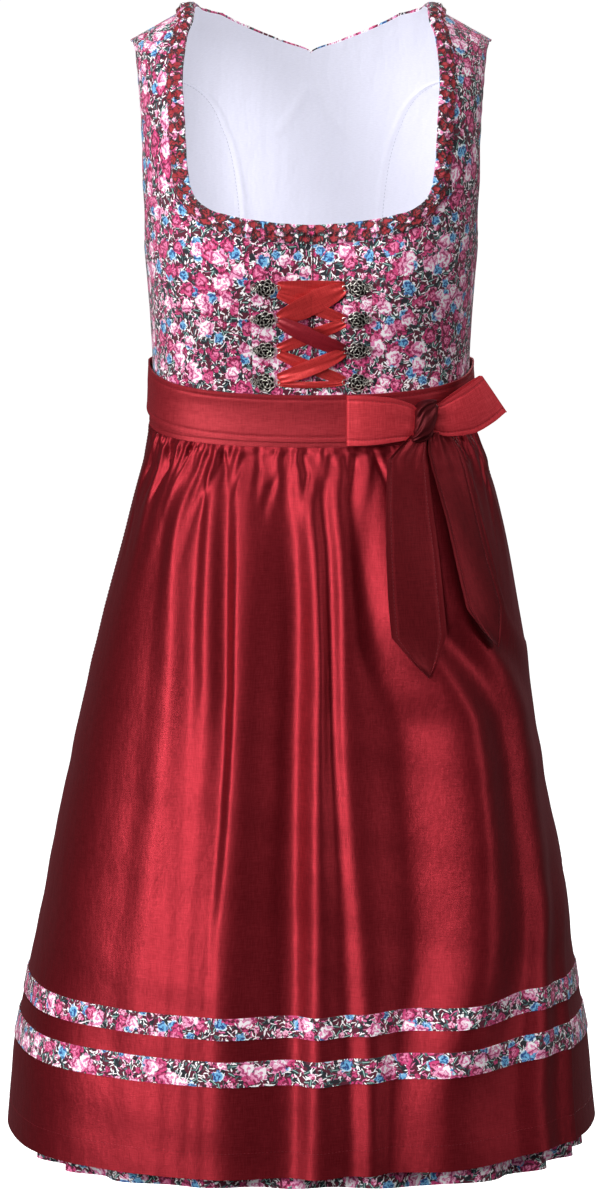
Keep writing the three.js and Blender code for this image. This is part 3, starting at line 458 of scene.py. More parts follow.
def cloth(name, grids, materials, node):
    """One closed wall of cloth over grids of paired points. Each grid is (outer, inner, uv, flip),
    and grids that share points join there. Materials are the outside and, if given, the inside."""
    points, pairs, uvs, quads = [], [], [], []
    count = 0
    for outer, inner, uv, flip in grids:
        rows, columns = outer.shape[:2]
        ids = count + np.arange(rows * columns).reshape(rows, columns)
        cells = np.stack([ids[:-1, :-1], ids[:-1, 1:], ids[1:, 1:], ids[1:, :-1]], axis=-1).reshape(-1, 4)
        quads.append(cells[:, ::-1] if flip else cells)
        points.append(outer.reshape(-1, 3))
        pairs.append(inner.reshape(-1, 3))
        uvs.append(np.broadcast_to(uv, (rows, columns, 2)).reshape(-1, 2))
        count += rows * columns
    points, pairs, uvs, quads = (np.concatenate(part) for part in (points, pairs, uvs, quads))
    _, first, merged = np.unique(np.round(points, 3), axis=0, return_index=True, return_inverse=True)
    size = len(first)
    cells = merged.reshape(-1)[quads]
    sides = np.stack([cells, np.roll(cells, -1, axis=1)], axis=-1).reshape(-1, 2)
    corner_sides = np.stack([quads, np.roll(quads, -1, axis=1)], axis=-1).reshape(-1, 2)
    rim = ~np.isin(sides[:, 0] * size + sides[:, 1], sides[:, 1] * size + sides[:, 0])
    start, end = sides[rim].T
    rim_faces = np.stack([end, start, start + size, end + size], axis=-1)
    faces = np.concatenate([cells, cells[:, ::-1] + size, rim_faces])
    corners = np.concatenate([quads, quads[:, ::-1], corner_sides[rim][:, [1, 0, 0, 1]]])
    mesh = bpy.data.meshes.new(name)
    mesh.from_pydata((np.concatenate([points[first], pairs[first]]) * MM).tolist(), [], faces.tolist())
    mesh.uv_layers.new(name="cloth").data.foreach_set("uv", (uvs[corners] * MM).ravel())
    for material in materials:
        mesh.materials.append(material)
    if len(materials) > 1:
        slots = np.zeros(len(faces), dtype=np.int32)
        slots[len(cells):2 * len(cells)] = 1
        mesh.polygons.foreach_set("material_index", slots)
    place_piece(name, mesh, node)


def solid_mesh(name, vertices, faces, material, node=None):
    mesh = bpy.data.meshes.new(name)
    mesh.from_pydata((vertices * MM).tolist(), [], [list(map(int, face)) for face in faces])
    mesh.materials.append(material)
    return place_piece(name, mesh, node)


def ring_faces(rings, count):
    """Faces between rings of points, and to the tip and the foot that follow them."""
    faces = []
    nexts = [(i, (i + 1) % count) for i in range(count)]
    for low in range(0, (rings - 1) * count, count):
        faces += [(low + i, low + j, low + count + j, low + count + i) for i, j in nexts]
    last, tip = (rings - 1) * count, rings * count
    for i, j in nexts:
        faces += [(last + i, last + j, tip), (j, i, tip + 1)]
    return faces


def flat_uv(across, along):
    return np.stack(np.broadcast_arrays(across, along), axis=-1)


def tubes(name, routes, radius, material, sides=5):
    """Closed thin tubes along routes of points, joined in one mesh."""
    vertices, faces = [], []
    start = 0
    turns = (np.arange(sides) * 2 * math.pi / sides)[None, :, None]
    for route in routes:
        tangent = unit(np.gradient(route, axis=0))
        guide = np.where(np.abs(tangent[:, 2:3]) > 0.9, (1.0, 0, 0), (0, 0, 1.0))
        first = unit(np.cross(tangent, guide))
        ring = first[:, None] * np.cos(turns) + np.cross(tangent, first)[:, None] * np.sin(turns)
        vertices.append((route[:, None] + ring * radius).reshape(-1, 3))
        last = start + (len(route) - 1) * sides
        for low in range(start, last, sides):
            for k in range(sides):
                after = (k + 1) % sides
                faces.append((low + k, low + sides + k, low + sides + after, low + after))
        faces.append(tuple(range(start, start + sides)))
        faces.append(tuple(range(last + sides - 1, last - 1, -1)))
        start = last + sides
    solid_mesh(name, np.concatenate(vertices), faces, material)


def sampled(t, at, points):
    """Points of a line at lengths t, from the lengths of its known points."""
    return np.stack([np.interp(t, at, points[:, k]) for k in range(3)], axis=1)


def lengths_along(line):
    return np.concatenate([[0], np.cumsum(np.linalg.norm(np.diff(line, axis=0), axis=1))])


def stitches(name, line, out, radius=0.17, material=None):
    """A row of short stitches along a line of points that lies on cloth."""
    at = lengths_along(line)
    routes = []
    step = STITCH_LENGTH + STITCH_GAP
    for start in np.arange(STITCH_GAP, at[-1] - step, step):
        t = start + STITCH_LENGTH * STITCH_PLACES
        routes.append(sampled(t, at, line) + sampled(t, at, out) * (radius * STITCH_BEND))
    tubes(name, routes, radius, material or THREAD, sides=3)


def edge_stitches(name, outer, inner, edges):
    """Stitches on a wall of cloth, along the rows that a table of suffixes names."""
    for suffix, row in edges:
        stitches(f"{name}_stitch_{suffix}", outer[row], unit(outer[row] - inner[row]))


# Materials

def linear(red, green, blue):
    """Screen colour, 0 to 255, as Blender's linear colour."""
    values = [c / 255 for c in (red, green, blue)]
    return tuple(c / 12.92 if c <= 0.04045 else ((c + 0.055) / 1.055) ** 2.4 for c in values) + (1.0,)


class Value:
    """A number in a node tree. A sum or product with it is one more node."""

    def __init__(self, shader, socket):
        self.shader = shader
        self.socket = socket

    def __add__(self, other):
        return self.shader.math("ADD", self, other)

    def __sub__(self, other):
        return self.shader.math("SUBTRACT", self, other)

    def __mul__(self, other):
        return self.shader.math("MULTIPLY", self, other)

    def __truediv__(self, other):
        return self.shader.math("DIVIDE", self, other)

    def __rtruediv__(self, other):
        return self.shader.math("DIVIDE", other, self)

    def __pow__(self, other):
        return self.shader.math("POWER", self, other)

    def __abs__(self):
        return self.shader.math("ABSOLUTE", self)


class Shader:
    """A node tree written as calls. A value or a plain number goes into each input."""

    def __init__(self, name, **finish):
        self.material = bpy.data.materials.new(name)
        self.material.use_nodes = True
        self.tree = self.material.node_tree
        for key, value in finish.items():
            self.set(key.replace("_", " ").title(), value)

    def feed(self, socket, value):
        if isinstance(value, Value):
            self.tree.links.new(value.socket, socket)
        else:
            socket.default_value = value

    def set(self, key, value):
        self.feed(self.tree.nodes["Principled BSDF"].inputs[key], value)

    def node(self, kind, inputs, output=0, **settings):
        """The output of a new node, or its outputs where a tuple names them."""
        made = self.tree.nodes.new("ShaderNode" + kind)
        for key, value in settings.items():
            setattr(made, key, value)
        for key, value in inputs.items():
            self.feed(made.inputs[key], value)
        if isinstance(output, tuple):
            return [Value(self, made.outputs[key]) for key in output]
        return Value(self, made.outputs[output])

    def math(self, operation, *inputs):
        return self.node("Math", dict(enumerate(inputs)), operation=operation)

    def below(self, a, b):
        return self.math("LESS_THAN", a, b)

    def vector(self, operation, a, b):
        return self.node("VectorMath", {0: a, 1: b}, operation=operation)

    def scaled(self, a, factor):
        return self.node("VectorMath", {0: a, "Scale": factor}, operation="SCALE")

    def stretched(self, a, x, y):
        return self.vector("MULTIPLY", a, (x, y, 1.0))

    def split(self, vector):
        return self.node("SeparateXYZ", {0: vector}, (0, 1))

    def blend(self, factor, a, b):
        return self.node("Mix", {0: factor, 6: a, 7: b}, 2, data_type="RGBA")

    def ramp(self, value, low, high):
        return self.node("MapRange", {0: value, 1: low, 2: high}, interpolation_type="SMOOTHSTEP")

    def noise(self, vector, scale, detail=2.0, rough=0.5, output=0):
        inputs = {"Vector": vector, "Scale": scale, "Detail": detail, "Roughness": rough}
        return self.node("TexNoise", inputs, output, noise_dimensions="2D")

    def grain(self, scale, detail):
        """Noise through the space of the piece."""
        place = self.node("TexCoord", {}, "Object")
        return self.node("TexNoise", {"Vector": place, "Scale": scale, "Detail": detail})

    def uv(self):
        return self.node("UVMap", {}, uv_map="cloth")

    def bump(self, height, distance, strength, under=None):
        inputs = {"Strength": strength, "Distance": distance, "Height": height}
        if under:
            inputs["Normal"] = under
        return self.node("Bump", inputs)


def weave_height(shader, uv, pitch):
    """Plain weave: threads over and under, as height from 0 to 1."""
    x, y = shader.split(shader.scaled(uv, math.pi / pitch))
    return shader.math("MULTIPLY_ADD", shader.math("SINE", x) * shader.math("SINE", y), 0.5, 0.5)


def scatter(shader, uv, cell, offset, randomness=0.9):
    """One motif a cell: its local place in metres at a random turn, and three random values."""
    moved = shader.vector("ADD", uv, offset)
    inputs = {"Vector": moved, "Scale": 1 / cell, "Randomness": randomness}
    middle, colour = shader.node("TexVoronoi", inputs, ("Position", "Color"), voronoi_dimensions="2D")
    chances = shader.node("SeparateColor", {0: colour}, (0, 1, 2))
    inputs = {"Vector": shader.vector("SUBTRACT", moved, middle), "Angle": chances[0] * (2 * math.pi)}
    return shader.node("VectorRotate", inputs, rotation_type="Z_AXIS"), chances


def oval(shader, place, long, wide):
    x, y = shader.split(place)
    return (x / long) ** 2.0 + (y / wide) ** 2.0


def bloom(shader, uv, cell, radius, offset, share, rings):
    """Roses: mask, shade of the petals, place to the side, distance from the middle, random value."""
    spin, chances = scatter(shader, uv, cell, offset)
    size = shader.math("MULTIPLY_ADD", chances[1], 0.35, 0.8) * radius
    place = shader.scaled(spin, 1.0 / size)
    x, y = shader.split(place)
    distance = shader.node("VectorMath", {0: place}, "Value", operation="LENGTH")
    angle = shader.math("ARCTAN2", y, x)
    rag = (shader.noise(uv, 420) - 0.5) * 0.7
    edge = distance + shader.math("COSINE", angle * 5.0) * 0.12 + rag
    mask = shader.ramp(edge, 1.02, 0.9) * shader.below(chances[2], share)
    # Petals in uneven rings, from 0 in the folds to 1 on the petals
    curl = shader.math("COSINE", angle * 3.0) * 1.3 + (shader.noise(uv, 380) - 0.5) * 7.0
    turn = shader.math("MULTIPLY_ADD", distance, rings, curl) + angle
    petals = shader.ramp(shader.math("SINE", turn), -0.75, 0.35)
    return mask, petals, x, distance, chances[0]


# Pale strokes: cell, length, width, offset in metres
STROKES = (
    (0.0046, 0.0024, 0.00043, (0.3, 0.1, 0)),
    (0.0056, 0.0030, 0.0005, (0.71, 0.53, 0)),
    (0.0068, 0.0019, 0.0009, (0.13, 0.87, 0)),
)
# Flowers: cell, radius, offset, share of cells, rings, and the dark and light of two colourings
BUD_COLOURS = (176, 40, 98), (248, 186, 214), (128, 16, 60), (206, 66, 122)
BLUE_COLOURS = (24, 66, 132), (110, 178, 222), (70, 126, 188), (226, 242, 250)
RED_COLOURS = (176, 34, 92), (240, 140, 182), (98, 6, 46), (206, 58, 118)
WHITE_COLOURS = (232, 132, 182), (255, 246, 251), (176, 42, 104), (240, 160, 198)
BUDS = [(0.0080, 0.0026, (0.19, 0.67, 0), 0.5, 3.0, *BUD_COLOURS)]
BLUES = [(0.0180, 0.0052, (0.93, 0.37, 0), 0.52, 6.0, *BLUE_COLOURS)]
REDS = [(0.0190, 0.0068, (0.57, 0.79, 0), 0.42, 8.0, *RED_COLOURS),
        (0.0230, 0.0068, (0.17, 0.31, 0), 0.42, 8.0, *RED_COLOURS)]
WHITES = [(0.0195, 0.0070, (0.07, 0.49, 0), 0.36, 8.0, *WHITE_COLOURS),
          (0.0250, 0.0070, (0.77, 0.11, 0), 0.36, 8.0, *WHITE_COLOURS)]


def floral_colour(shader, uv):
    """Millefleurs print: roses, buds and leaves on a dark ground full of small pale strokes."""
    ground = shader.ramp(shader.noise(uv, 120, 1.0), 0.5, 0.58)
    colour = shader.blend(ground, linear(88, 8, 40), linear(24, 25, 36))
    tone = shader.node("SeparateColor", {0: shader.noise(uv, 160, output=1)}, 1) - 0.5
    bend = shader.vector("SUBTRACT", shader.noise(uv, 260, output=1), (0.5, 0.5, 0.5))
    curled = shader.vector("ADD", uv, shader.scaled(bend, 0.0022))
    for cell, long, wide, offset in STROKES:
        place, chances = scatter(shader, curled, cell, offset, 1.0)
        teal = shader.ramp(chances[1], 0.62, 0.66)
        stroke = shader.blend(teal, linear(252, 248, 250), linear(70, 112, 112))
        stroke = shader.blend(shader.ramp(chances[2], 0.76, 0.8), stroke, linear(222, 110, 158))
        colour = shader.blend(shader.ramp(oval(shader, place, long, wide), 1.1, 0.75), colour, stroke)
    place, chances = scatter(shader, uv, 0.0078, (0.41, 0.23, 0))
    leaf = shader.ramp(oval(shader, place, 0.0032, 0.0014), 1.1, 0.8) * shader.below(chances[2], 0.45)
    vein = shader.ramp(abs(shader.split(place)[1]), 0.0001, 0.0005)
    colour = shader.blend(leaf, colour, shader.blend(vein, linear(170, 206, 196), linear(22, 62, 64)))

    # Where each kind takes its second colouring
    for rows, second_at in (
        (BUDS, lambda side, distance, chance: shader.below(chance, 0.4)),
        (BLUES, lambda side, distance, chance: shader.ramp(distance + tone * 0.5, 0.62, 0.95)),
        (REDS, lambda side, distance, chance: shader.ramp(distance + tone, 0.25, 0.7)),
        (WHITES, lambda side, distance, chance: shader.ramp(side + tone * 1.4, -0.15, 0.45)),
    ):
        for *form, dark, light, second_dark, second_light in rows:
            mask, petals, side, distance, chance = bloom(shader, uv, *form)
            first = shader.blend(petals, linear(*dark), linear(*light))
            second = shader.blend(petals, linear(*second_dark), linear(*second_light))
            both = shader.blend(second_at(side, distance, chance), first, second)
            colour = shader.blend(mask, colour, both)
    return colour


def make_floral(name, faded=0.0):
    shader = Shader(name, roughness=0.86, sheen_weight=0.12, sheen_roughness=0.5)
    uv = shader.uv()
    colour = floral_colour(shader, uv)
    if faded:
        colour = shader.blend(faded, colour, linear(226, 214, 222))
    shader.set("Base Color", colour)
    crease = shader.bump(shader.noise(uv, 45, 3.0), 0.0016, 0.35)
    shader.set("Normal", shader.bump(weave_height(shader, uv, 0.0005), 0.00008, 0.35, crease))
    return shader.material


def make_cotton_painted_light():
    # The lining glows: its emission is painted light that keeps it bright deep inside the bodice, where the
    # lamps reach little.
    shader = Shader("cotton_lining", roughness=0.9, sheen_weight=0.1, emission_strength=0.48)
    shader.set("Emission Color", linear(240, 240, 252))
    uv = shader.uv()
    slub = shader.noise(shader.stretched(uv, 1.0, 6.0), 260)
    shader.set("Base Color", shader.blend(slub, linear(154, 154, 168), linear(172, 172, 186)))
    crease = shader.bump(shader.noise(shader.stretched(uv, 1.6, 0.7), 26, 3.0), 0.006, 0.6)
    shader.set("Normal", shader.bump(weave_height(shader, uv, 0.0006), 0.0001, 0.4, crease))
    return shader.material


def make_taffeta(name, dark, light, roughness, metallic):
    """Lustrous cloth: fine cross ribs, threads of two tones and faint vertical crinkles."""
    shader = Shader(name, roughness=roughness, metallic=metallic, sheen_weight=0.06, sheen_roughness=0.35)
    shader.set("Sheen Tint", linear(200, 120, 140))
    uv = shader.uv()
    threads = shader.noise(shader.stretched(uv, 14.0, 1.0), 90, 3.0, 0.6)
    cross = shader.noise(shader.stretched(uv, 1.0, 16.0), 80, 3.0, 0.6)
    mixed = shader.math("MULTIPLY_ADD", threads, 0.5, cross * 0.5)
    shader.set("Base Color", shader.blend(shader.ramp(mixed, 0.25, 0.75), linear(*dark), linear(*light)))
    crinkle = shader.bump(shader.noise(shader.stretched(uv, 1.5, 0.7), 16, 4.0, 0.6), 0.004, 0.3)
    rib = shader.noise(shader.stretched(uv, 1.0, 9.0), 240)
    shader.set("Normal", shader.bump(rib, 0.0003, 0.35, crinkle))
    return shader.material


def make_trim():
    """Print cloth, and dark red taffeta inside the small mouths of the ruching, with painted shade in the
    mouths' creases, at their rims and on the print round them.
    """
    shader = Shader("ruched_trim", roughness=0.7, sheen_weight=0.1)
    uv = shader.uv()
    x, y = shader.split(uv)
    reaches = []
    for row, middle in MOUTH_ROWS:
        phase = shader.math("FRACT", y * (1 / (TRIM_PITCH * MM)) + (row + 10))
        share = x / (TRIM_WIDTH * MM) - middle
        reaches.append(abs(phase - 0.5) / MOUTH_LENGTH + abs(share) / MOUTH_WIDTH)
    edge = shader.math("MINIMUM", *reaches) + (shader.noise(uv, 200, 3.0, 0.6) - 0.5) * 2.2
    # Painted shade: dark lines along random creases inside the mouths.
    crease = abs(shader.noise(uv, 190, 1.0) - 0.5)
    red = shader.blend(shader.ramp(crease, 0.012, 0.075), linear(40, 5, 12), linear(158, 32, 46))
    # Painted shade: each mouth darkens towards its rim, and the print darkens just round the mouths.
    red = shader.blend(shader.ramp(edge, 0.7, 1.0), red, linear(60, 6, 16))
    shadow = shader.blend(shader.ramp(edge, 1.45, 1.12), floral_colour(shader, uv), linear(30, 9, 18))
    shader.set("Base Color", shader.blend(shader.ramp(edge, 1.04, 0.98), shadow, red))
    shader.set("Normal", shader.bump(weave_height(shader, uv, 0.0005), 0.00008, 0.35))
    return shader.material


def make_silver(name, dark, light):
    shader = Shader(name, metallic=0.9, roughness=0.36)
    grime = shader.ramp(shader.grain(700.0, 3.0), 0.35, 0.62)
    shader.set("Base Color", shader.blend(grime, linear(*dark), linear(*light)))
    return shader.material


def make_plain(name, colour, roughness=0.6):
    shader = Shader(name, roughness=roughness)
    colour = linear(*colour)
    shade = tuple(0.7 * c for c in colour[:3]) + (1.0,)
    shader.set("Base Color", shader.blend(shader.grain(900.0, 2.0), shade, colour))
    return shader.material


FLORAL = make_floral("floral_print")
FLORAL_REVERSE = make_floral("floral_print_reverse", faded=0.5)
COTTON_PAINTED_LIGHT = make_cotton_painted_light()
TAFFETA = make_taffeta("dark_red_taffeta", (117, 14, 25), (142, 31, 42), 0.47, 0.82)
TAFFETA_BAND = make_taffeta("taffeta_band", (138, 20, 32), (168, 42, 52), 0.56, 0.6)
# Painted light: the loops take a lighter copy of the taffeta, so they look lit.
TAFFETA_LOOP_PAINTED_LIGHT = make_taffeta("taffeta_loop", (174, 31, 42), (206, 58, 68), 0.58, 0.55)
# Painted shade: the tails take a darker copy of the taffeta, so they look shaded.
TAFFETA_TAIL_PAINTED_SHADE = make_taffeta("taffeta_tail", (98, 9, 19), (122, 22, 31), 0.5, 0.78)
# Painted shade: the knot takes a much darker copy of the taffeta, so it looks deep in shadow.
TAFFETA_KNOT_PAINTED_SHADE = make_taffeta("taffeta_knot", (70, 6, 13), (92, 14, 22), 0.5, 0.75)
SATIN = make_taffeta("red_satin", (192, 42, 46), (222, 66, 64), 0.34, 0.4)
# Painted shade: a darker copy of the red satin, for a ribbon that looks turned away from the light.
SATIN_PAINTED_SHADE = make_taffeta("red_satin_reverse", (134, 18, 34), (156, 28, 42), 0.45, 0.3)
TRIM = make_trim()
SILVER = make_silver("antique_silver", (150, 146, 138), (250, 246, 238))
SILVER_DARK = make_silver("oxidised_silver", (14, 12, 14), (52, 40, 42))
THREAD = make_plain("red_thread", (128, 16, 34))
ZIP = make_plain("zip_edge", (58, 16, 30))
WHITE_THREAD = make_plain("white_thread", (186, 186, 206), 0.7)


# Bodice

def between(edges, columns):
    """Shares, angles and heights between two edges, each row (angle, height, angle, height)."""
    t = np.linspace(0, 1, columns + 1)[None, :]
    return t, mix(edges[:, 0:1], edges[:, 2:3], t), mix(edges[:, 1:2], edges[:, 3:4], t)


def panel(edges, columns, dome, lift, wall, shift=(0.0, 0.0)):
    _, angle, height = between(edges, columns)
    outer, inner = bodice_walls(angle, height, dome, lift, lift - wall)
    return outer, inner, flat_uv(arc_of(angle, *BODICE_RING) + shift[0], height + shift[1]), False


def mirrored(grid, shift=(0.0, 0.0)):
    outer, inner, uv, flip = grid
    return outer * MIRROR, inner * MIRROR, uv * (-1, 1) + shift, not flip


def seam_pucker(edges, columns, reach=5.0, depth=0.5):
    """The wall dips at its seams, as stitched cloth does."""
    t, _, _ = between(edges, columns)
    width = np.maximum(np.abs(edges[:, 2:3] - edges[:, 0:1]) * 2.4, 1)
    near = np.exp(-(t * width / reach) ** 2) + np.exp(-((1 - t) * width / reach) ** 2)
    ripple = 1 + 0.5 * np.sin(edges[:, 1:2] / 3.1 + 2 * np.sin(edges[:, 1:2] / 17))
    return -depth * near * ripple


def build_fronts():
    rows = refined(FRONT_ROWS, REFINE)
    side = rows.copy()
    side[rows[:, 0] <= PRINCESS_ANGLE, 0] += SEAM_ANGLE
    side[rows[:, 2] > SIDE_ANGLE, 2] -= SEAM_ANGLE
    side_grid = panel(side, 56, FRONT_DOME, seam_pucker(side, 56), BODICE_WALL, (31, 12))
    centre_height = refined(CENTRE_FRONT_HEIGHTS[:, None], REFINE)[:, 0]
    low = rows[:len(centre_height)]
    centre = [np.full(len(low), SEAM_ANGLE), centre_height, low[:, 0] - SEAM_ANGLE, low[:, 1]]
    centre = np.stack(centre, axis=1)
    centre_grid = panel(centre, 24, FRONT_DOME, seam_pucker(centre, 24, 4, 0.35), BODICE_WALL)
    for name, grid, shift in (("centre", centre_grid, (-83, 40)), ("side", side_grid, (57, 91))):
        cloth(f"front_{name}_left", [grid], [FLORAL, COTTON_PAINTED_LIGHT], f"bodice_{name}_front_left")
        cloth(f"front_{name}_right", [mirrored(grid, shift)], [FLORAL, COTTON_PAINTED_LIGHT], f"bodice_{name}_front_right")

    heights = np.linspace(CENTRE_FRONT_HEIGHTS[-1] - 1.5, WAIST_SEAM + 2, 80)
    for name, across in (("front_centre_right_stitch", -5.5), ("front_centre_left_stitch", 6.5)):
        line = on_bodice(across, heights, 0.0)
        stitches(name, line, unit(on_bodice(across, heights, 1.0) - line), radius=0.14)
    tubes("zip_edge", [on_bodice(1.3, heights, 0.1)], 0.45, ZIP)


def build_backs():
    rows = refined(BACK_ROWS, REFINE)
    gap = 2 * SEAM_ANGLE
    low = rows[:SIDE_BACK_LAST * REFINE + 1]
    lift = np.where(np.arange(len(rows)) < len(low), gap, 0)
    centre = np.stack([180 - rows[:, 2] + gap, rows[:, 3] + lift, 180 - rows[:, 0], rows[:, 1]], axis=1)
    centre_grid = panel(centre, 30, BACK_DOME, 0, BODICE_WALL)
    side_angle = 180 - low[:, 4] + np.where(low[:, 4] > SIDE_ANGLE, SEAM_ANGLE, 0)
    side = np.stack([side_angle, low[:, 5], 180 - low[:, 2] - gap, low[:, 3] - gap], axis=1)
    side_grid = panel(side, 20, BACK_DOME, 0, BODICE_WALL, (23, 41))
    other = mirrored(centre_grid, (2 * arc_of(180, *BODICE_RING), 0))
    cloth("back_centre", [centre_grid, other], [FLORAL], "bodice_centre_back")
    cloth("back_side_left", [side_grid], [FLORAL], "bodice_side_back_left")
    cloth("back_side_right", [mirrored(side_grid, (11, 63))], [FLORAL], "bodice_side_back_right")

    # The lining lies inside the backs, with no gap at its seams
    centre[:, :2] = np.stack([180 - rows[:, 2], rows[:, 3]], axis=1)
    side[:, 2:] = np.stack([180 - low[:, 2], low[:, 3]], axis=1)
    grids = []
    for edges, columns, seam in ((centre, 44, 0), (side, 20, 1)):
        crease = lining_creases(edges, columns, seam) - BODICE_WALL - 2.5 * SEAM_GAP
        grids.append(panel(edges, columns, BACK_DOME, crease, LINING_WALL))
    outer, inner = (wall[:len(low), 0] for wall in grids[0][:2])
    for name, turn in (("left", (1, 1, 1)), ("right", MIRROR)):
        away = unit(inner - outer) * turn
        stitches(f"lining_back_stitch_{name}", inner * turn, away, 0.2, WHITE_THREAD)
    both = [grid for half in grids for grid in (half, mirrored(half))]
    cloth("lining_back", both, [COTTON_PAINTED_LIGHT], "back_lining")


def lining_creases(edges, columns, seam):
    """Soft ridges towards the inside along the princess seam and below the back neckline."""
    _, angle, height = between(edges, columns)
    from_seam = (angle - edges[:, 2 * seam:2 * seam + 1]) * 2.5
    ridge = -1.6 * np.exp(-((np.abs(from_seam) - 4) / 2.4) ** 2)
    fall = np.clip((-82 - height) / 34, 0, 1.2)
    crease = (180 - angle) * 2.67 - 3 - 23 * fall ** 1.4
    hollow = -2.2 * np.exp(-(crease / 3.0) ** 2) * step_up(fall, 0, 0.15) * step_up(1.2 - fall, 0, 0.4)
    soft = 1.4 * noise_1d(angle * 2.5 + 0.2 * height, 71, 24) * noise_1d(height, 72, 60)
    return ridge + hollow + soft - 1.5


# Skirt and apron

def broad_wave(angle):
    a = np.radians(angle)
    return np.cos(SKIRT_WAVES * a + 0.8 * np.sin(3 * a + 1) + 0.6 * np.sin(7 * a))


def skirt_hem(angle):
    share = (1 - np.cos(np.radians(angle))) / 2
    turn = np.minimum(angle, 360 - angle)
    side = np.maximum(1 - np.abs(np.abs(turn) - HEM_LIFT["angle"]) / HEM_LIFT["spread"], 0)
    return mix(SKIRT_HEM_FRONT, SKIRT_HEM_BACK, share) + 1.5 * broad_wave(angle) + HEM_LIFT["rise"] * side


def skirt_grid(start, end, columns, rows):
    """The back is gathered into the waist seam, and the front is plain there under the apron."""
    back = end > 90
    angle = np.linspace(start + SEAM_ANGLE, end - SEAM_ANGLE, columns + 1)[None, :]
    v = np.linspace(0, 1, rows + 1)[:, None] ** 1.25
    z = mix(WAIST_SEAM - SEAM_GAP, skirt_hem(angle), v)
    angle = np.broadcast_to(angle, z.shape)
    wave = curve_through(z, *zip(*(BACK_WAVES if back else FRONT_WAVES)))
    gather = np.zeros_like(z)
    if back:
        stray = 0.25 * noise_1d(angle, 3, 9) * np.abs(np.sin(np.radians(2 * angle)))
        turns = (angle - 90) / 180 * BACK_GATHERS + stray
        size = curve_through(z, *zip(*GATHER_SIZES))
        gather = size * (0.5 - 0.5 * np.cos(2 * math.pi * turns)) * (1 + 0.25 * noise_1d(angle, 5, 6))
    place, out, inset = skirt_place(angle, z)
    lift = wave * broad_wave(angle) + gather - inset
    seat = step_up(z, BAND_BOTTOM - 4, BAND_BOTTOM)[..., None]
    at_waist = gather - SEAT_INSET
    below = walls_off(place, out, lift, SKIRT_WALL)
    above = bodice_walls(angle, z, FRONT_DOME, at_waist, at_waist - SKIRT_WALL)
    outer, inner = (mix(low, high, seat) for low, high in zip(below, above))
    across = np.cumsum(np.linalg.norm(np.diff(outer[..., :2], axis=1), axis=-1), axis=1)
    across = np.concatenate([np.zeros((rows + 1, 1)), across], axis=1)
    across -= across[:, columns // 2][:, None]
    return outer, inner, flat_uv(across, z), True


def build_skirt():
    for name, node, start, end, columns, rows in (
        ("front", "front", -90, 90, 220, 56),
        ("left", "back_left", 90, 180, 208, 80),
        ("right", "back_right", 180, 270, 208, 80),
    ):
        grid = skirt_grid(start, end, columns, rows)
        cloth(f"skirt_cloth_{name}", [grid], [FLORAL, FLORAL_REVERSE], f"skirt_{node}")


def gather_shapes():
    """Small folds at the band: place from 0 to 1, height, half width in places, start, length, drift."""
    rng = np.random.default_rng(11)
    for count, stray, heights, widths, lengths, drift in (
        (23, 0.4, (2.4, 4.8), (0.2, 0.32), (32, 92), 0.02),
        (44, 0.35, (1.0, 2.6), (0.2, 0.34), (8, 22), 0.03),
    ):
        for i in range(count):
            place = (i + 0.5 + rng.uniform(-stray, stray)) / count
            height, half = rng.uniform(*heights), rng.uniform(*widths) / count
            yield place, height, half, 0, rng.uniform(*lengths), rng.uniform(-drift, drift)
    for i in range(30):
        place = (i + 0.5 + rng.uniform(-0.45, 0.45)) / 30
        start, long = rng.uniform(4, 34), rng.uniform(14, 46)
        height, half = -rng.uniform(1.6, 3.6), rng.uniform(0.12, 0.2) / 30
        yield place, height, half, start, long, rng.uniform(-0.05, 0.05)


def fold_lift(x, z):
    """Lift of the large folds at a distance across: smooth from each valley to the next crest."""
    lift = np.zeros(np.broadcast_shapes(x.shape, z.shape))
    lines = [[curve_through(z, FOLD_LEVELS, values) for values in line] for line in APRON_FOLDS]
    for (x0, h0), (x1, h1) in zip(lines, lines[1:]):
        t = (x - x0) / (x1 - x0)
        lift = np.where((t >= 0) & (t < 1), mix(h0, h1, step_up(t, 0, 1)), lift)
    return lift


def band_edge(edge, angle):
    """Height of a band's edge, which dips at the front and is level from the side seams back."""
    return edge[0] + edge[1] * (1 - np.cos(np.radians(np.minimum(np.abs(angle), 90))))


def apron_height(angle, level):
    """The apron hangs from the waistband's dipped edge to a hem that is not quite level."""
    hem = curve_through(angle, HEM_ANGLES, HEM_RISE)
    top = band_edge(WAISTBAND_BOTTOM, angle) - WAISTBAND_BOTTOM[0]
    upper = np.maximum((level - APRON_MIDDLE) / (APRON_TOP - APRON_MIDDLE), 0)
    lower = np.clip((APRON_MIDDLE - level) / (APRON_MIDDLE - STRIPE_TOP), 0, 1)
    return level + top * upper + hem * lower


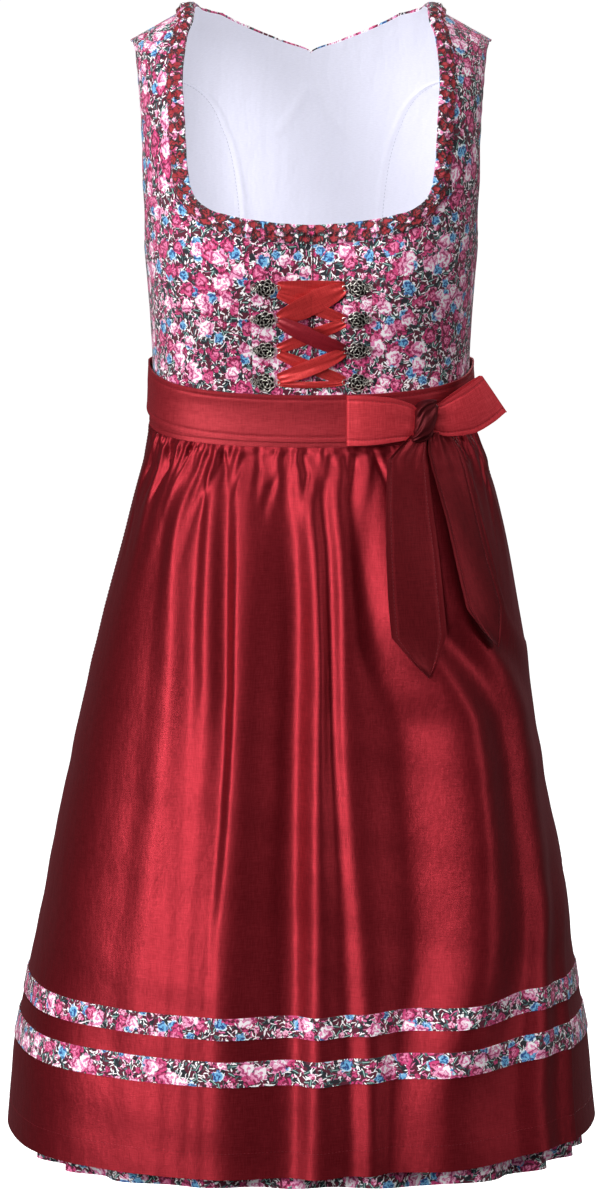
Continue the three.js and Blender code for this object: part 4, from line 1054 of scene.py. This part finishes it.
def apron_grid(t, level, lift_off=0.0, wall=APRON_WALL):
    """Apron cloth at shares t across and at levels, which are heights at the front."""
    t, level = np.broadcast_arrays(t, level)
    angle = mix(table_at(APRON_EDGES, level, 1), table_at(APRON_EDGES, level, 2), t)
    z = apron_height(angle, level)
    place, out, _ = skirt_place(angle, z)
    x = place[..., 0]
    fall = APRON_TOP - level
    gathers = np.zeros(z.shape)
    for centre, size, width, start, length, drift in gather_shapes():
        fade = np.exp(-(np.maximum(fall - start, 0) / length) ** 1.8)
        fade *= step_up(fall, start - 12, start + 6) if start else 0.5 + 0.5 * step_up(fall, 0, 12)
        away = (t - centre - drift * fall / 60) / (width * (1 + fall / 160))
        gathers += fade * size * np.exp(-np.where(away > 0, 2.2, 0.8) * away ** 2)
    ruffle = np.abs(np.sin(math.pi * (27 * t + 0.8 * noise_1d(t, 31, 0.04)))) - 0.35
    gathers += 2.4 * ruffle * np.exp(-((fall - 4.0) / 3.6) ** 2)
    soft = noise_1d(0.8 * x + 0.5 * z, 61, 46) * noise_1d(z - 0.3 * x, 62, 70)
    soft = soft + 0.4 * noise_1d(z + 0.2 * x, 63, 24)
    lift = (fold_lift(x, z) - FOLD_MEAN) * step_up(fall, 0, 50)
    lift += gathers * step_up(t, 0, 0.05) * step_up(1 - t, 0, 0.05)
    lift += 1.7 * soft * step_up(fall, 110, 330) - 1.5 * np.exp(-(fall / 30) ** 1.6) + lift_off
    across = arc_of(angle, *APRON_RING) * (table_at(SKIRT_ROWS, z, 1) / APRON_RING[0])
    return *walls_off(place, out, lift, wall), flat_uv(across, z), True


def build_apron():
    t = np.linspace(0, 1, APRON_COLUMNS)[None, :]
    level = mix(APRON_TOP, APRON_HEM, np.linspace(0, 1, APRON_ROWS)[:, None] ** 1.45)
    cloth("apron_cloth", [apron_grid(t, level)], [TAFFETA], "apron_panel")
    outer, inner, _, _ = apron_grid(t, np.array([[APRON_HEM + HEM_DEPTH]]))
    edge_stitches("apron_cloth", outer, inner, [("hem", 0)])
    outer, inner, _, _ = apron_grid(np.array([SIDE_STITCHES]), level)
    edge_stitches("apron_cloth", outer.swapaxes(0, 1), inner.swapaxes(0, 1), [("left", 0), ("right", 1)])
    for name, top, bottom in STRIPES:
        level = np.linspace(top, bottom, STRIPE_ROWS)[:, None]
        outer, inner, uv, flip = apron_grid(t, level, SEAM_GAP + STRIPE_WALL, STRIPE_WALL)
        cloth(name + "_cloth", [(outer, inner, uv + (13, top * 0.4), flip)], [FLORAL], name)
        edge_stitches(name + "_cloth", outer, inner, [("upper", 1), ("lower", -2)])


# Bands

def seam_dip(v):
    """The cloth dips along the stitched edges of the tie, its loops and its tails."""
    edges = [(TIE_WIDTH * share - STITCH_INSET) / DIP_WIDTH for share in (v, 1 - v)]
    return -DIP_DEPTH * (np.exp(-edges[0] ** 2) + np.exp(-edges[1] ** 2))


def waist_band(name, node, angles, columns, top, bottom, lift, ripple):
    angle = np.linspace(*angles, columns + 1)[None, :]
    v = np.linspace(0, 1, 41)[:, None]
    z = mix(bottom(angle), top(angle), v)
    soft = ripple * (noise_1d(z + 0.15 * angle, 8, 9) + noise_1d(angle * 2, 9, 14) * noise_1d(z, 4, 12))
    lift = lift + soft + seam_dip(v)
    outer, inner = bodice_walls(np.broadcast_to(angle, z.shape), z, FRONT_DOME, lift + BAND_WALL, lift)
    cloth(name, [(outer, inner, flat_uv(z, arc_of(angle, *WAIST_RING)), False)], [TAFFETA_BAND], node)
    return outer, inner


def build_bands():
    waist_band("apron_waistband_cloth", "apron_waistband", (-80, 85), 220, lambda a: -341 + 0 * a,
               lambda a: band_edge(WAISTBAND_BOTTOM, a) - 0.9, SEAM_GAP, 0.05)
    walls = waist_band("tie_cloth", "tie_band", (-180, 180), 360, lambda a: band_edge(TIE_TOP, a),
                       lambda a: band_edge(TIE_BOTTOM, a), TIE_LIFT, 0.25)
    edge_stitches("tie_cloth", *walls, [("lower", 4), ("upper", -5)])


# Neck trim: print cloth gathered into two staggered rows of small mouths that show red taffeta

def neckline_path(count):
    """Stations along the neckline on the wearer's left: angle, height and side, the length to each,
    and the path's own points with their lengths."""
    front = [(row[0], row[1]) for row in FRONT_ROWS if row[1] >= -181]
    back = [(180 - row[0], row[1]) for row in BACK_ROWS if row[1] >= -64][::-1]
    legs = []
    for nodes, dome in ((NECKLINE_LEAD + front, FRONT_DOME), (back, BACK_DOME)):
        angle, height = refined(np.array(nodes, float), 12).T
        legs.append((angle, height, bodice_point(angle, height, dome)))
    angles, heights, points = (np.concatenate(part) for part in zip(*legs))
    lengths = lengths_along(points)
    at = np.linspace(0, lengths[-1], count + 1)
    side = np.where(at <= lengths[len(legs[0][0]) - 1], -1, 1)
    return np.interp(at, lengths, angles), np.interp(at, lengths, heights), side, at, points, lengths


def mouths(along, across):
    """How deep a place lies inside a mouth of the trim: 1 at its middle, 0 on its rim."""
    deepest = 0.0
    for row, middle in MOUTH_ROWS:
        phase = (along / TRIM_PITCH + row) % 1 - 0.5
        reach = np.abs(phase) / MOUTH_LENGTH + np.abs(across - middle) / MOUTH_WIDTH
        deepest = np.maximum(deepest, 1 - reach)
    return deepest


def build_trim():
    angle, height, side, at, points, lengths = neckline_path(TRIM_PUFFS * TRIM_STEPS)
    tangent = unit(np.gradient(sampled(at, lengths, points), axis=0))
    tangent[0], tangent[-1] = (1, 0, 0), (-1, 0, 0)
    share = np.linspace(0, 1, 21)[None, :]
    along = (at * TRIM_PUFFS * TRIM_PITCH / at[-1])[:, None]
    overhang = mix(1.5, -1.2, step_up(at, lengths[-1] * 0.55, lengths[-1] * 0.7))[:, None]
    wobble = 0.8 * noise_1d(at, 21, 7)[:, None]
    distance = TRIM_WIDTH * share - overhang + wobble * (share - 0.5)
    relief = mouths(along, share)
    rise = TRIM_RISE * np.sin(math.pi * np.clip(share, 0.04, 0.96)) ** 0.4
    ribs = 0.7 * np.cos(2 * math.pi * (along / TRIM_PITCH * 3) + 5 * share)
    facet = share - np.where(share < 0.5, MOUTH_ROWS[0][1], MOUTH_ROWS[1][1])
    lift = TRIM_LIFT + rise + (1.0 + ribs) * (relief <= 0) * rise / TRIM_RISE
    lift += (relief > 0) * (0.9 - 1.7 * relief + 6.0 * facet * np.minimum(relief * 4, 1))
    far = at[:, None]
    crumple = noise_1d(far + 3.1 * np.sin(share * 9), 41, 2.6) * noise_1d(share * 17 + far / 3, 43, 3)
    lift += 1.9 * crumple * np.sin(math.pi * np.clip(share, 0.02, 0.98))
    outer, inner = np.zeros((2, *lift.shape, 3))
    for dome in (FRONT_DOME, BACK_DOME):
        mask = side == dome["side"]
        _, facing, across, up = (part[mask] for part in bodice_frame(angle, height, dome))
        away = unit(np.cross(tangent[mask], facing))
        turn = np.sum(away * across, axis=1) / np.sum(across * across, axis=1)
        climb = np.sum(away * up, axis=1) / np.sum(up * up, axis=1)
        there, out, _, _ = bodice_frame(angle[mask][:, None] + turn[:, None] * distance[mask],
                                        height[mask][:, None] + climb[:, None] * distance[mask], dome)
        outer[mask] = there + out * lift[mask][..., None]
        inner[mask] = there + out * TRIM_LIFT
    outer[[0, -1], :, 0] = inner[[0, -1], :, 0] = 0
    uv = flat_uv(TRIM_WIDTH * share, along)
    grids = [(outer, inner, uv, True), (outer * MIRROR, inner * MIRROR, uv, False)]
    cloth("ruched_trim", grids, [TRIM], "neck_trim")


# Lacing

def on_bodice(x, z, lift):
    """Places in front of the bodice at distances across, heights and lifts."""
    x, z, lift = np.broadcast_arrays(np.asarray(x, float), z, lift)
    point, normal, _, _ = bodice_frame(angle_at(x / table_at(BODICE_ROWS, z, 1)), z, FRONT_DOME)
    return point + normal * lift[..., None]


def ribbon(name, node, ends, width, arch, material, tilt=0.0, sag=0.0, pinch=6.5, crease=0.0):
    """A stretch of satin ribbon between two eyes, gathered where it passes through them."""
    t = np.linspace(0, 1, 61)[:, None]
    v = np.linspace(-1, 1, 21)[None, :]
    belly = np.sin(math.pi * t) ** 0.5
    start, end = np.array(ends, float)
    line = end - start
    long = np.hypot(*line)
    side = np.array([-line[1], line[0]]) / long
    spread = mix(pinch, width, belly) / 2
    lean = np.radians(tilt) * belly
    reach = spread * v * np.cos(lean) + sag * belly
    x = start[0] + line[0] * t + side[0] * reach
    z = start[1] + line[1] * t + side[1] * reach
    pleats = (1 - belly) ** 0.8 * 0.55 * np.cos(v * 6.5) + 0.25 * belly * np.cos(v * 3 + t * 5)
    lift = RIBBON_LIFT + arch * belly ** 1.3 + pleats + np.sin(lean) * (v + 1) * spread
    lift = lift + 1.1 * belly * (1 - v ** 2) + crease * belly * np.abs(v - 0.35 + 0.5 * t)
    walls = []
    for wall in (lift, lift - RIBBON_WALL):
        place = on_bodice(x, z, wall)
        # The bodice has an edge at centre front, and the ribbon rounds it
        place[..., 1] = on_bodice(np.sqrt(x ** 2 + 30), z, wall)[..., 1]
        walls.append(place)
    cloth(name, [(*walls, flat_uv(width / 2 * v, long * t), False)], [material], node)


def build_lacing():
    first, second, third, last = ORNAMENT_HEIGHTS
    left, right = -EYE_ACROSS - 1, EYE_ACROSS + 1
    high = first + 2
    for name, ends, width, arch, material, form in (
        ("top", ((left, high), (right, high)), 16, 0.8, SATIN, {"tilt": 12, "sag": -3, "crease": 1.5}),
        ("over_1", ((right, first), (left, second + 1)), 21, 6.5, SATIN, {"tilt": -10, "crease": 0.6}),
        ("under_1", ((left, first - 5), (right, second)), 12, 0.6, SATIN, {"tilt": 10, "crease": 1.2}),
        # This crossing ribbon takes the darker copy of the satin, as painted shade.
        ("over_2", ((left, second - 1), (right, third + 1)), 16, 6.0, SATIN_PAINTED_SHADE, {"tilt": 12}),
        ("under_2", ((right, second - 3), (left, third + 1)), 12, 0.6, SATIN, {"tilt": -6, "crease": 0.8}),
        ("over_3", ((right, third - 1), (left, last + 3)), 14, 5.6, SATIN, {"tilt": 6, "crease": 1.4}),
        ("under_3", ((left, third - 3), (right, last + 1)), 11, 0.6, SATIN, {"tilt": 4, "crease": 1.0}),
        ("bottom", ((left, last - 1), (right, last)), 6, 0.6, SATIN, {"sag": -2, "pinch": 4}),
    ):
        piece = "_".join(["lace", name.split("_")[0], "ribbon"] + name.split("_")[1:])
        ribbon(piece, "lace_" + name, ends, width, arch, material, **form)


def build_ornament(name, node, across, height):
    """A rosette of wire petals on a dark boss, with a leaf to the side and an eye to the centre."""
    side = math.copysign(1, across)
    centre = on_bodice(across, height, 0.8)
    out = unit(on_bodice(across, height, 1.8) - centre)
    right = unit(on_bodice(across + 1, height, 0.8) - on_bodice(across - 1, height, 0.8)) * side
    up = np.cross(out, right) * side
    spin = abs(height) * 0.37 + (1 if side > 0 else 0)

    def at(x, y, lift):
        x, y, lift = (part[..., None] for part in np.broadcast_arrays(x, y, lift))
        return centre + right * x + up * y + out * lift

    def dome(x, y):
        return 0.9 + 2.2 * np.clip(1 - (x ** 2 + y ** 2) / 90, 0, 1)

    wires = []
    for petals, radius, swell in ((7, 6.6, 2.3), (5, 4.1, 2.0), (3, 2.0, 1.5)):
        for i in range(petals):
            a = np.linspace(-1, 1, 13)
            turn = spin + 2 * math.pi * (i + 0.3 * (radius < 5)) / petals + a * math.pi / petals * 1.25
            reach = radius + swell * np.cos(a * math.pi / 2) - 0.5
            x, y = np.cos(turn) * reach, np.sin(turn) * reach
            wires.append(at(x, y, dome(x, y) + 0.5 + 0.3 * np.cos(a * 3)))
    a = np.linspace(0, 1, 12)
    for bend in (-3.4, 3.4):
        arch = np.sin(math.pi * a)
        wires.append(at(6.5 + 7.5 * a, bend * arch ** 0.8 + 1.5 * a, 1.2 + 0.5 * arch))
    a = np.linspace(0, 1, 8)
    wires.append(at(6.5 + 7 * a, 1.4 * a, 1.7 - 0.6 * a))
    a = np.linspace(0, 1, 5)
    for rib in (0.3, 0.55, 0.78):
        for bend in (-2.3, 2.3):
            wires.append(at(6.5 + 7 * rib + 1.2 * a, 1.4 * rib + bend * a, 1.6 - 0.3 * a))
    a = np.linspace(0, 2 * math.pi, 15)
    wires.append(at(-10.6 + 2.4 * np.cos(a), 2.4 * np.sin(a), 1.3))
    tubes(name + "_wires", wires, 0.33, SILVER)

    rings, count = 6, 36
    a = np.linspace(0, 2 * math.pi, count, endpoint=False)
    lobes = 0.95 + 0.08 * np.cos(7 * (a - spin)) + 0.42 * np.maximum(np.cos(a), 0) ** 6
    vertices = []
    for ring in range(rings):
        share = 1 - ring / rings
        x, y = np.cos(a) * lobes * 8.0 * share, np.sin(a) * lobes * 8.0 * share
        swirl = 0.35 * np.cos(3 * a + 5 * share)
        vertices.append(at(x, y, dome(x, y) * 0.9 + swirl if ring else dome(x, y) * 0.35))
    vertices.append(at(0, 0, [3.4, 0.0]))
    faces = ring_faces(rings, count)
    if side < 0:
        faces = [face[::-1] for face in faces]
    solid_mesh(name, np.concatenate(vertices), faces, SILVER_DARK, node)


def build_ornaments():
    for number, height in enumerate(ORNAMENT_HEIGHTS, 1):
        for side, across in (("left", ORNAMENT_ACROSS), ("right", -ORNAMENT_ACROSS)):
            build_ornament(f"rose_{side}_{number}", f"ornament_{side}_{number}", across, height)


# Bow

# Stations of the loops: distance from the knot of the upper and the lower edge, height of both
# edges, and half the opening between the two layers
CENTRE_LOOP = np.array([
    (4, 4, -350, -372, 1.4),
    (10, 10, -343, -374, 2.0),
    (18, 18, -339.5, -374.5, 3.0),
    (26, 26, -337, -375.5, 4.0),
    (36, 36, -335.5, -377, 4.6),
    (47, 47, -334, -378, 4.2),
    (56, 56, -334, -378, 2.4),
])
SIDE_LOOP = np.array([
    (4, 4, -346, -366, 1.4),
    (11, 11, -344, -369, 2.0),
    (17, 19, -342, -371.5, 3.0),
    (22, 27, -339, -372, 3.6),
    (34, 46, -332, -370, 5.0),
    (46, 64, -325, -362, 4.6),
    (54, 78, -320, -353, 2.4),
])
# Stations of the tails, bottom to top: height, left and right edge across, lift off the apron
CENTRE_TAIL = np.array([
    (-577, 98, 101, 10),
    (-562, 84, 108, 10),
    (-541, 67, 115, 10),
    (-508, 64, 112, 10),
    (-470, 62, 109, 10),
    (-430, 62, 104, 9.5),
    (-390, 64, 99, 9),
    (-370, 84, 98, 8),
])
SIDE_TAIL = np.array([
    (-556, 158.5, 161.5, 7),
    (-541, 146, 164, 7),
    (-520, 131, 166, 7),
    (-480, 121, 155, 7),
    (-440, 112, 146, 7),
    (-400, 102, 135, 7),
    (-384, 98, 127, 9),
    (-368, 99, 116, 8),
])


def knot_frame():
    point, normal, across, _ = bodice_frame(np.array(KNOT_ANGLE), np.array(KNOT_HEIGHT), FRONT_DOME)
    along, out = unit(across * (1, 1, 0)), unit(normal * (1, 1, 0))
    return point + out * KNOT_LIFT, along, out


def on_line(distance, z, lift):
    """Places beside the knot, straight out from it."""
    centre, along, out = knot_frame()
    place = centre + along * distance[..., None] + out * lift[..., None]
    place[..., 2] = z
    return place


def on_waist(distance, z, lift):
    """Places beside the knot, round the waist towards the centre."""
    angle = KNOT_ANGLE - distance / WAIST_PER_DEGREE
    point, normal, _, _ = bodice_frame(angle, np.full(angle.shape, KNOT_HEIGHT), FRONT_DOME)
    place = point + normal * (KNOT_LIFT + lift)[..., None]
    place[..., 2] = z
    return place


def build_loop(name, stations, place, flip, bend):
    """A band that goes out from the knot and comes back."""
    fine = np.linspace(0, len(stations) - 1, LOOP_ROWS)
    index = np.arange(len(stations))
    upper, lower, top, bottom, gap = (curve_through(fine, index, column)[:, None] for column in stations.T)
    v = np.linspace(0, 1, BOW_COLUMNS)
    distance, z = mix(lower, upper, v), mix(bottom, top, v)
    from_knot = distance - distance[:1]
    half = gap + seam_dip(v) + 0.6 * np.exp(-from_knot / 12) * np.cos(15 * v + 2)
    front = half + bend * np.sin(math.pi * v) * np.sin(from_knot / 22)
    turn = np.linspace(0, math.pi, 9)[1:-1][:, None]
    turned = mix(-half[-1:], front[-1:], (1 + np.cos(turn)) / 2)
    lift = np.concatenate([front, turned, -half[::-1]])
    distance = np.concatenate([distance, distance[-1:] + 2.0 * np.sin(turn), distance[::-1]])
    z = np.concatenate([z, np.repeat(z[-1:], len(turn), axis=0), z[::-1]])
    surface = place(distance, z, lift)
    normal = unit(np.cross(np.gradient(surface, axis=0), np.gradient(surface, axis=1)))
    middle = LOOP_ROWS // 2, BOW_COLUMNS // 2
    ahead = place(distance, z, lift + 1.0)[middle] - surface[middle]
    normal *= np.sign(normal[middle] @ ahead)
    inner = surface - normal * BOW_WALL
    uv = flat_uv(TIE_WIDTH * v, lengths_along(surface[:, middle[1]])[:, None])
    cloth(name, [(surface, inner, uv, flip)], [TAFFETA_LOOP_PAINTED_LIGHT], "bow_" + name)
    edge_stitches(name, surface.swapaxes(0, 1), inner.swapaxes(0, 1), zip(("lower", "upper"), BOW_STITCHES))


def build_tail(name, stations, sway):
    """A tail that hangs on the apron and ends in a point."""
    z = np.linspace(stations[0, 0], stations[-1, 0], TAIL_ROWS)[:, None]
    left, right = (np.interp(z, stations[:, 0], stations[:, column]) for column in (1, 2))
    v = np.linspace(0, 1, BOW_COLUMNS)[None, :]
    x = mix(left, right, v)
    near = np.exp(-(stations[-1, 0] - z) / 22)
    curl = 1.6 * near * np.cos(13 * v + 1)
    curl = curl + (1 - near) * (sway * (v - 0.5) ** 2 * 4 + 1.2 * np.sin(z / 26 + 3 * v) + 7.0 * (0.5 - v))
    lift = table_at(stations, z, 3) + curl + seam_dip(v)
    half, shift = table_at(SKIRT_ROWS, z, 1), table_at(SKIRT_ROWS, z, 4)
    place, out, _ = skirt_place(angle_at((x - shift) / half), np.broadcast_to(z, x.shape))
    outer, inner = walls_off(place, out, lift, BOW_WALL)
    cloth(name, [(outer, inner, flat_uv(TIE_WIDTH * v, z), False)], [TAFFETA_TAIL_PAINTED_SHADE], "bow_" + name)
    edge_stitches(name, outer.swapaxes(0, 1), inner.swapaxes(0, 1), zip(("left", "right"), BOW_STITCHES))


def build_knot():
    """A leaning roll of cloth with twisted folds."""
    centre, along, out = knot_frame()
    rings, columns = 55, 96
    u = np.linspace(0, 2 * math.pi, columns, endpoint=False)[None, :]
    w = np.linspace(-math.pi / 2, math.pi / 2, rings + 2)[1:-1][:, None]
    x, y, z = np.cos(w) * np.cos(u), np.cos(w) * np.sin(u), np.sin(w) + 0 * u

    def boxed(value):
        return np.sign(value) * np.abs(value) ** 0.6

    slant = z * 3.4 - x * 2.4
    folds = 1 + 0.13 * np.cos(1.5 * slant + 1.2) + 0.07 * np.cos(4.1 * slant + 0.4)
    waist = 1 - 0.12 * np.exp(-((z - 0.2) / 0.4) ** 2)
    sideways = boxed(x) * KNOT_HALF[0] * folds * waist + KNOT_LEAN * boxed(z) - 2.5 * np.sin(3 * z)
    place = centre + along * sideways[..., None] + out * (boxed(y) * KNOT_HALF[1] * folds)[..., None]
    place[..., 2] += boxed(z) * KNOT_HALF[2]
    end = along * KNOT_LEAN + (0, 0, KNOT_HALF[2])
    vertices = np.concatenate([place.reshape(-1, 3), [centre + end, centre - end]])
    faces = [face[::-1] for face in ring_faces(rings, columns)]
    mesh = solid_mesh("knot_wrap", vertices, faces, TAFFETA_KNOT_PAINTED_SHADE, "bow_knot").data
    corners = np.zeros(len(mesh.loops), dtype=np.int32)
    mesh.loops.foreach_get("vertex_index", corners)
    flat = flat_uv(slant * 8, z * 16 - x * 8).reshape(-1, 2)
    flat = np.concatenate([flat, flat[-1:], flat[:1]])
    mesh.uv_layers.new(name="cloth").data.foreach_set("uv", (flat[corners] * MM).ravel())


def build_bow():
    build_knot()
    build_loop("loop_centre", CENTRE_LOOP, on_waist, False, 0.4)
    build_loop("loop_side", SIDE_LOOP, on_line, True, 1.2)
    build_tail("tail_centre", CENTRE_TAIL, 0.6)
    build_tail("tail_side", SIDE_TAIL, 1.0)


# Cut sizes in metres of each piece of cloth: name, width, length, how it is held, what it lies on, and
# the cut area where it is not width by length. A star stands for left and for right.
SHEETS = (
    ("front_centre_*", 0.058, 0.168, "stretched", "front_side_*", 0.0094),
    ("front_side_*", 0.21, 0.375, "stretched", "back_side_*", 0.044),
    ("back_centre", 0.4, 0.38, "stretched", "lining_back", 0.062),
    ("back_side_*", 0.17, 0.29, "stretched", "lining_back", 0.036),
    ("lining_back", 0.46, 0.38, "stretched", "back_centre", 0.128),
    ("skirt_cloth_front", 0.86, 0.69, "gathered", "front_centre_left front_centre_right", None),
    ("skirt_cloth_*", 0.5, 0.7, "gathered", "back_centre", None),
    ("apron_cloth", 0.88, 0.64, "gathered", "apron_waistband_cloth", None),
    ("apron_stripe_upper_cloth", 0.845, 0.02, "laid", "apron_cloth", None),
    ("apron_stripe_lower_cloth", 0.87, 0.023, "laid", "apron_cloth", None),
    ("apron_waistband_cloth", 0.39, 0.038, "stretched", "front_centre_left front_centre_right", None),
    ("tie_cloth", 0.86, 0.041, "stretched", "apron_waistband_cloth", None),
    ("ruched_trim", 1.3, 0.02, "gathered", "front_side_left front_side_right", None),
    ("lace_top_ribbon", 0.062, 0.016, "stretched", "front_centre_left", None),
    ("lace_over_ribbon_1", 0.067, 0.021, "stretched", "lace_top_ribbon", None),
    ("lace_under_ribbon_1", 0.065, 0.013, "stretched", "front_centre_left", None),
    ("lace_over_ribbon_2", 0.066, 0.017, "stretched", "lace_under_ribbon_1", None),
    ("lace_under_ribbon_2", 0.065, 0.013, "stretched", "front_centre_left", None),
    ("lace_over_ribbon_3", 0.066, 0.015, "stretched", "lace_under_ribbon_2", None),
    ("lace_under_ribbon_3", 0.065, 0.012, "stretched", "front_centre_left", None),
    ("lace_bottom_ribbon", 0.06, 0.01, "stretched", "front_centre_left", 0.00042),
    ("loop_centre", 0.137, 0.04, "folded", "knot_wrap", None),
    ("loop_side", 0.142, 0.04, "folded", "knot_wrap", None),
    ("knot_wrap", 0.042, 0.04, "folded", "tie_cloth", None),
    ("tail_centre", 0.21, 0.047, "hung", "knot_wrap", None),
    ("tail_side", 0.192, 0.046, "hung", "knot_wrap", None),
)


def declare_sheets():
    for pattern, width, length, held, under, area in SHEETS:
        for side in ("left", "right") if "*" in pattern else ("",):
            name, carriers = pattern.replace("*", side), under.replace("*", side).split()
            sewn = [piece for piece in bpy.data.objects if piece.name.startswith(name + "_stitch")]
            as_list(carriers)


# Stage

def build_stage():
    shader = Shader("pale_studio", roughness=0.9, emission_strength=0.97)
    spots = shader.node("TexNoise", {"Scale": 3.0})
    shader.set("Base Color", shader.blend(spots, linear(250, 250, 250), linear(252, 252, 252)))
    shader.set("Emission Color", (1, 1, 1, 1))
    floor_z, radius, bend, wall_top = -1.35, 45.0, 8.0, 40.0
    steps, sides = 12, 48
    profile = [(0.5, floor_z), (radius - bend, floor_z)]
    for i in range(1, steps + 1):
        a = math.pi / 2 * i / steps
        profile.append((radius - bend + bend * math.sin(a), floor_z + bend * (1 - math.cos(a))))
    profile.append((radius, wall_top))
    turns = [2 * math.pi * k / sides for k in range(sides)]
    vertices = [(r * math.cos(a), r * math.sin(a), z) for r, z in profile for a in turns]
    faces = [tuple(range(sides))]
    for i in range(len(profile) - 1):
        for k in range(sides):
            after = (k + 1) % sides
            faces.append((i * sides + k, (i + 1) * sides + k, (i + 1) * sides + after, i * sides + after))
    mesh = bpy.data.meshes.new("studio_floor")
    mesh.from_pydata(vertices, [], faces)
    mesh.materials.append(shader.material)
    mesh.polygons.foreach_set("use_smooth", [True] * len(mesh.polygons))
    floor = linked("studio_floor", mesh)
    floor.visible_diffuse = False
    floor.visible_glossy = False
    floor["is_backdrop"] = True


def area_light(name, place, aim, size, power):
    data = bpy.data.lights.new(name, "AREA")
    data.shape = "RECTANGLE"
    data.size, data.size_y = size
    data.energy = power
    light = linked(name, data)
    light.location = place
    away = np.array(place) - np.array(aim)
    tilt = math.atan2(math.hypot(away[0], away[1]), away[2])
    light.rotation_euler = (tilt, 0, math.atan2(away[0], -away[1]))


def build_lights():
    aim = (0, 0, -0.55)
    for name, place, size, power in (
        ("key", (-2.6, -2.6, 0.4), (1.0, 2.6), 134),
        ("front", (-1.0, -4.2, 0.9), (1.1, 1.1), 40),
        ("fill", (3.5, -1.1, 0.3), (0.7, 2.4), 28),
        ("top", (-0.4, -1.6, 2.6), (1.6, 0.8), 48),
        ("back", (1.2, 2.6, 1.6), (1.6, 1.6), 45),
    ):
        area_light(name, place, aim, size, power)
    world = bpy.data.worlds.new("studio")
    world.use_nodes = True
    world.node_tree.nodes["Background"].inputs[0].default_value = (1, 1, 1, 1)
    world.node_tree.nodes["Background"].inputs[1].default_value = 0.08
    bpy.context.scene.world = world
    bpy.context.scene.view_settings.view_transform = "Standard"


# Camera: straight from the front, five metres away and a little above the shoulders
CAMERA_DISTANCE = 5.0
CAMERA_HEIGHT = 0.16
CAMERA_AIM = -0.531
CAMERA_ACROSS = -0.0063
IMAGE_HEIGHT = 1200
FOCAL_PIXELS = 5600
SENSOR = 36.0


def build_camera():
    data = bpy.data.cameras.new("camera")
    data.sensor_width = SENSOR
    data.lens = FOCAL_PIXELS / IMAGE_HEIGHT * SENSOR
    data.clip_end = 50
    camera = linked("camera", data)
    camera.location = (CAMERA_ACROSS, -CAMERA_DISTANCE, CAMERA_HEIGHT)
    tilt = math.atan((CAMERA_HEIGHT - CAMERA_AIM) / CAMERA_DISTANCE)
    camera.rotation_euler = (math.pi / 2 - tilt, 0, 0)
    bpy.context.scene.camera = camera


build_camera()
build_stage()
build_lights()
build_fronts()
build_backs()
build_skirt()
build_apron()
build_bands()
build_trim()
build_lacing()
build_ornaments()
build_bow()
declare_sheets()

boxes = {"cad": CAD_BOX, "visual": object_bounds()}
{key: [[float(v) for v in corner] for corner in box] for key, box in boxes.items()}
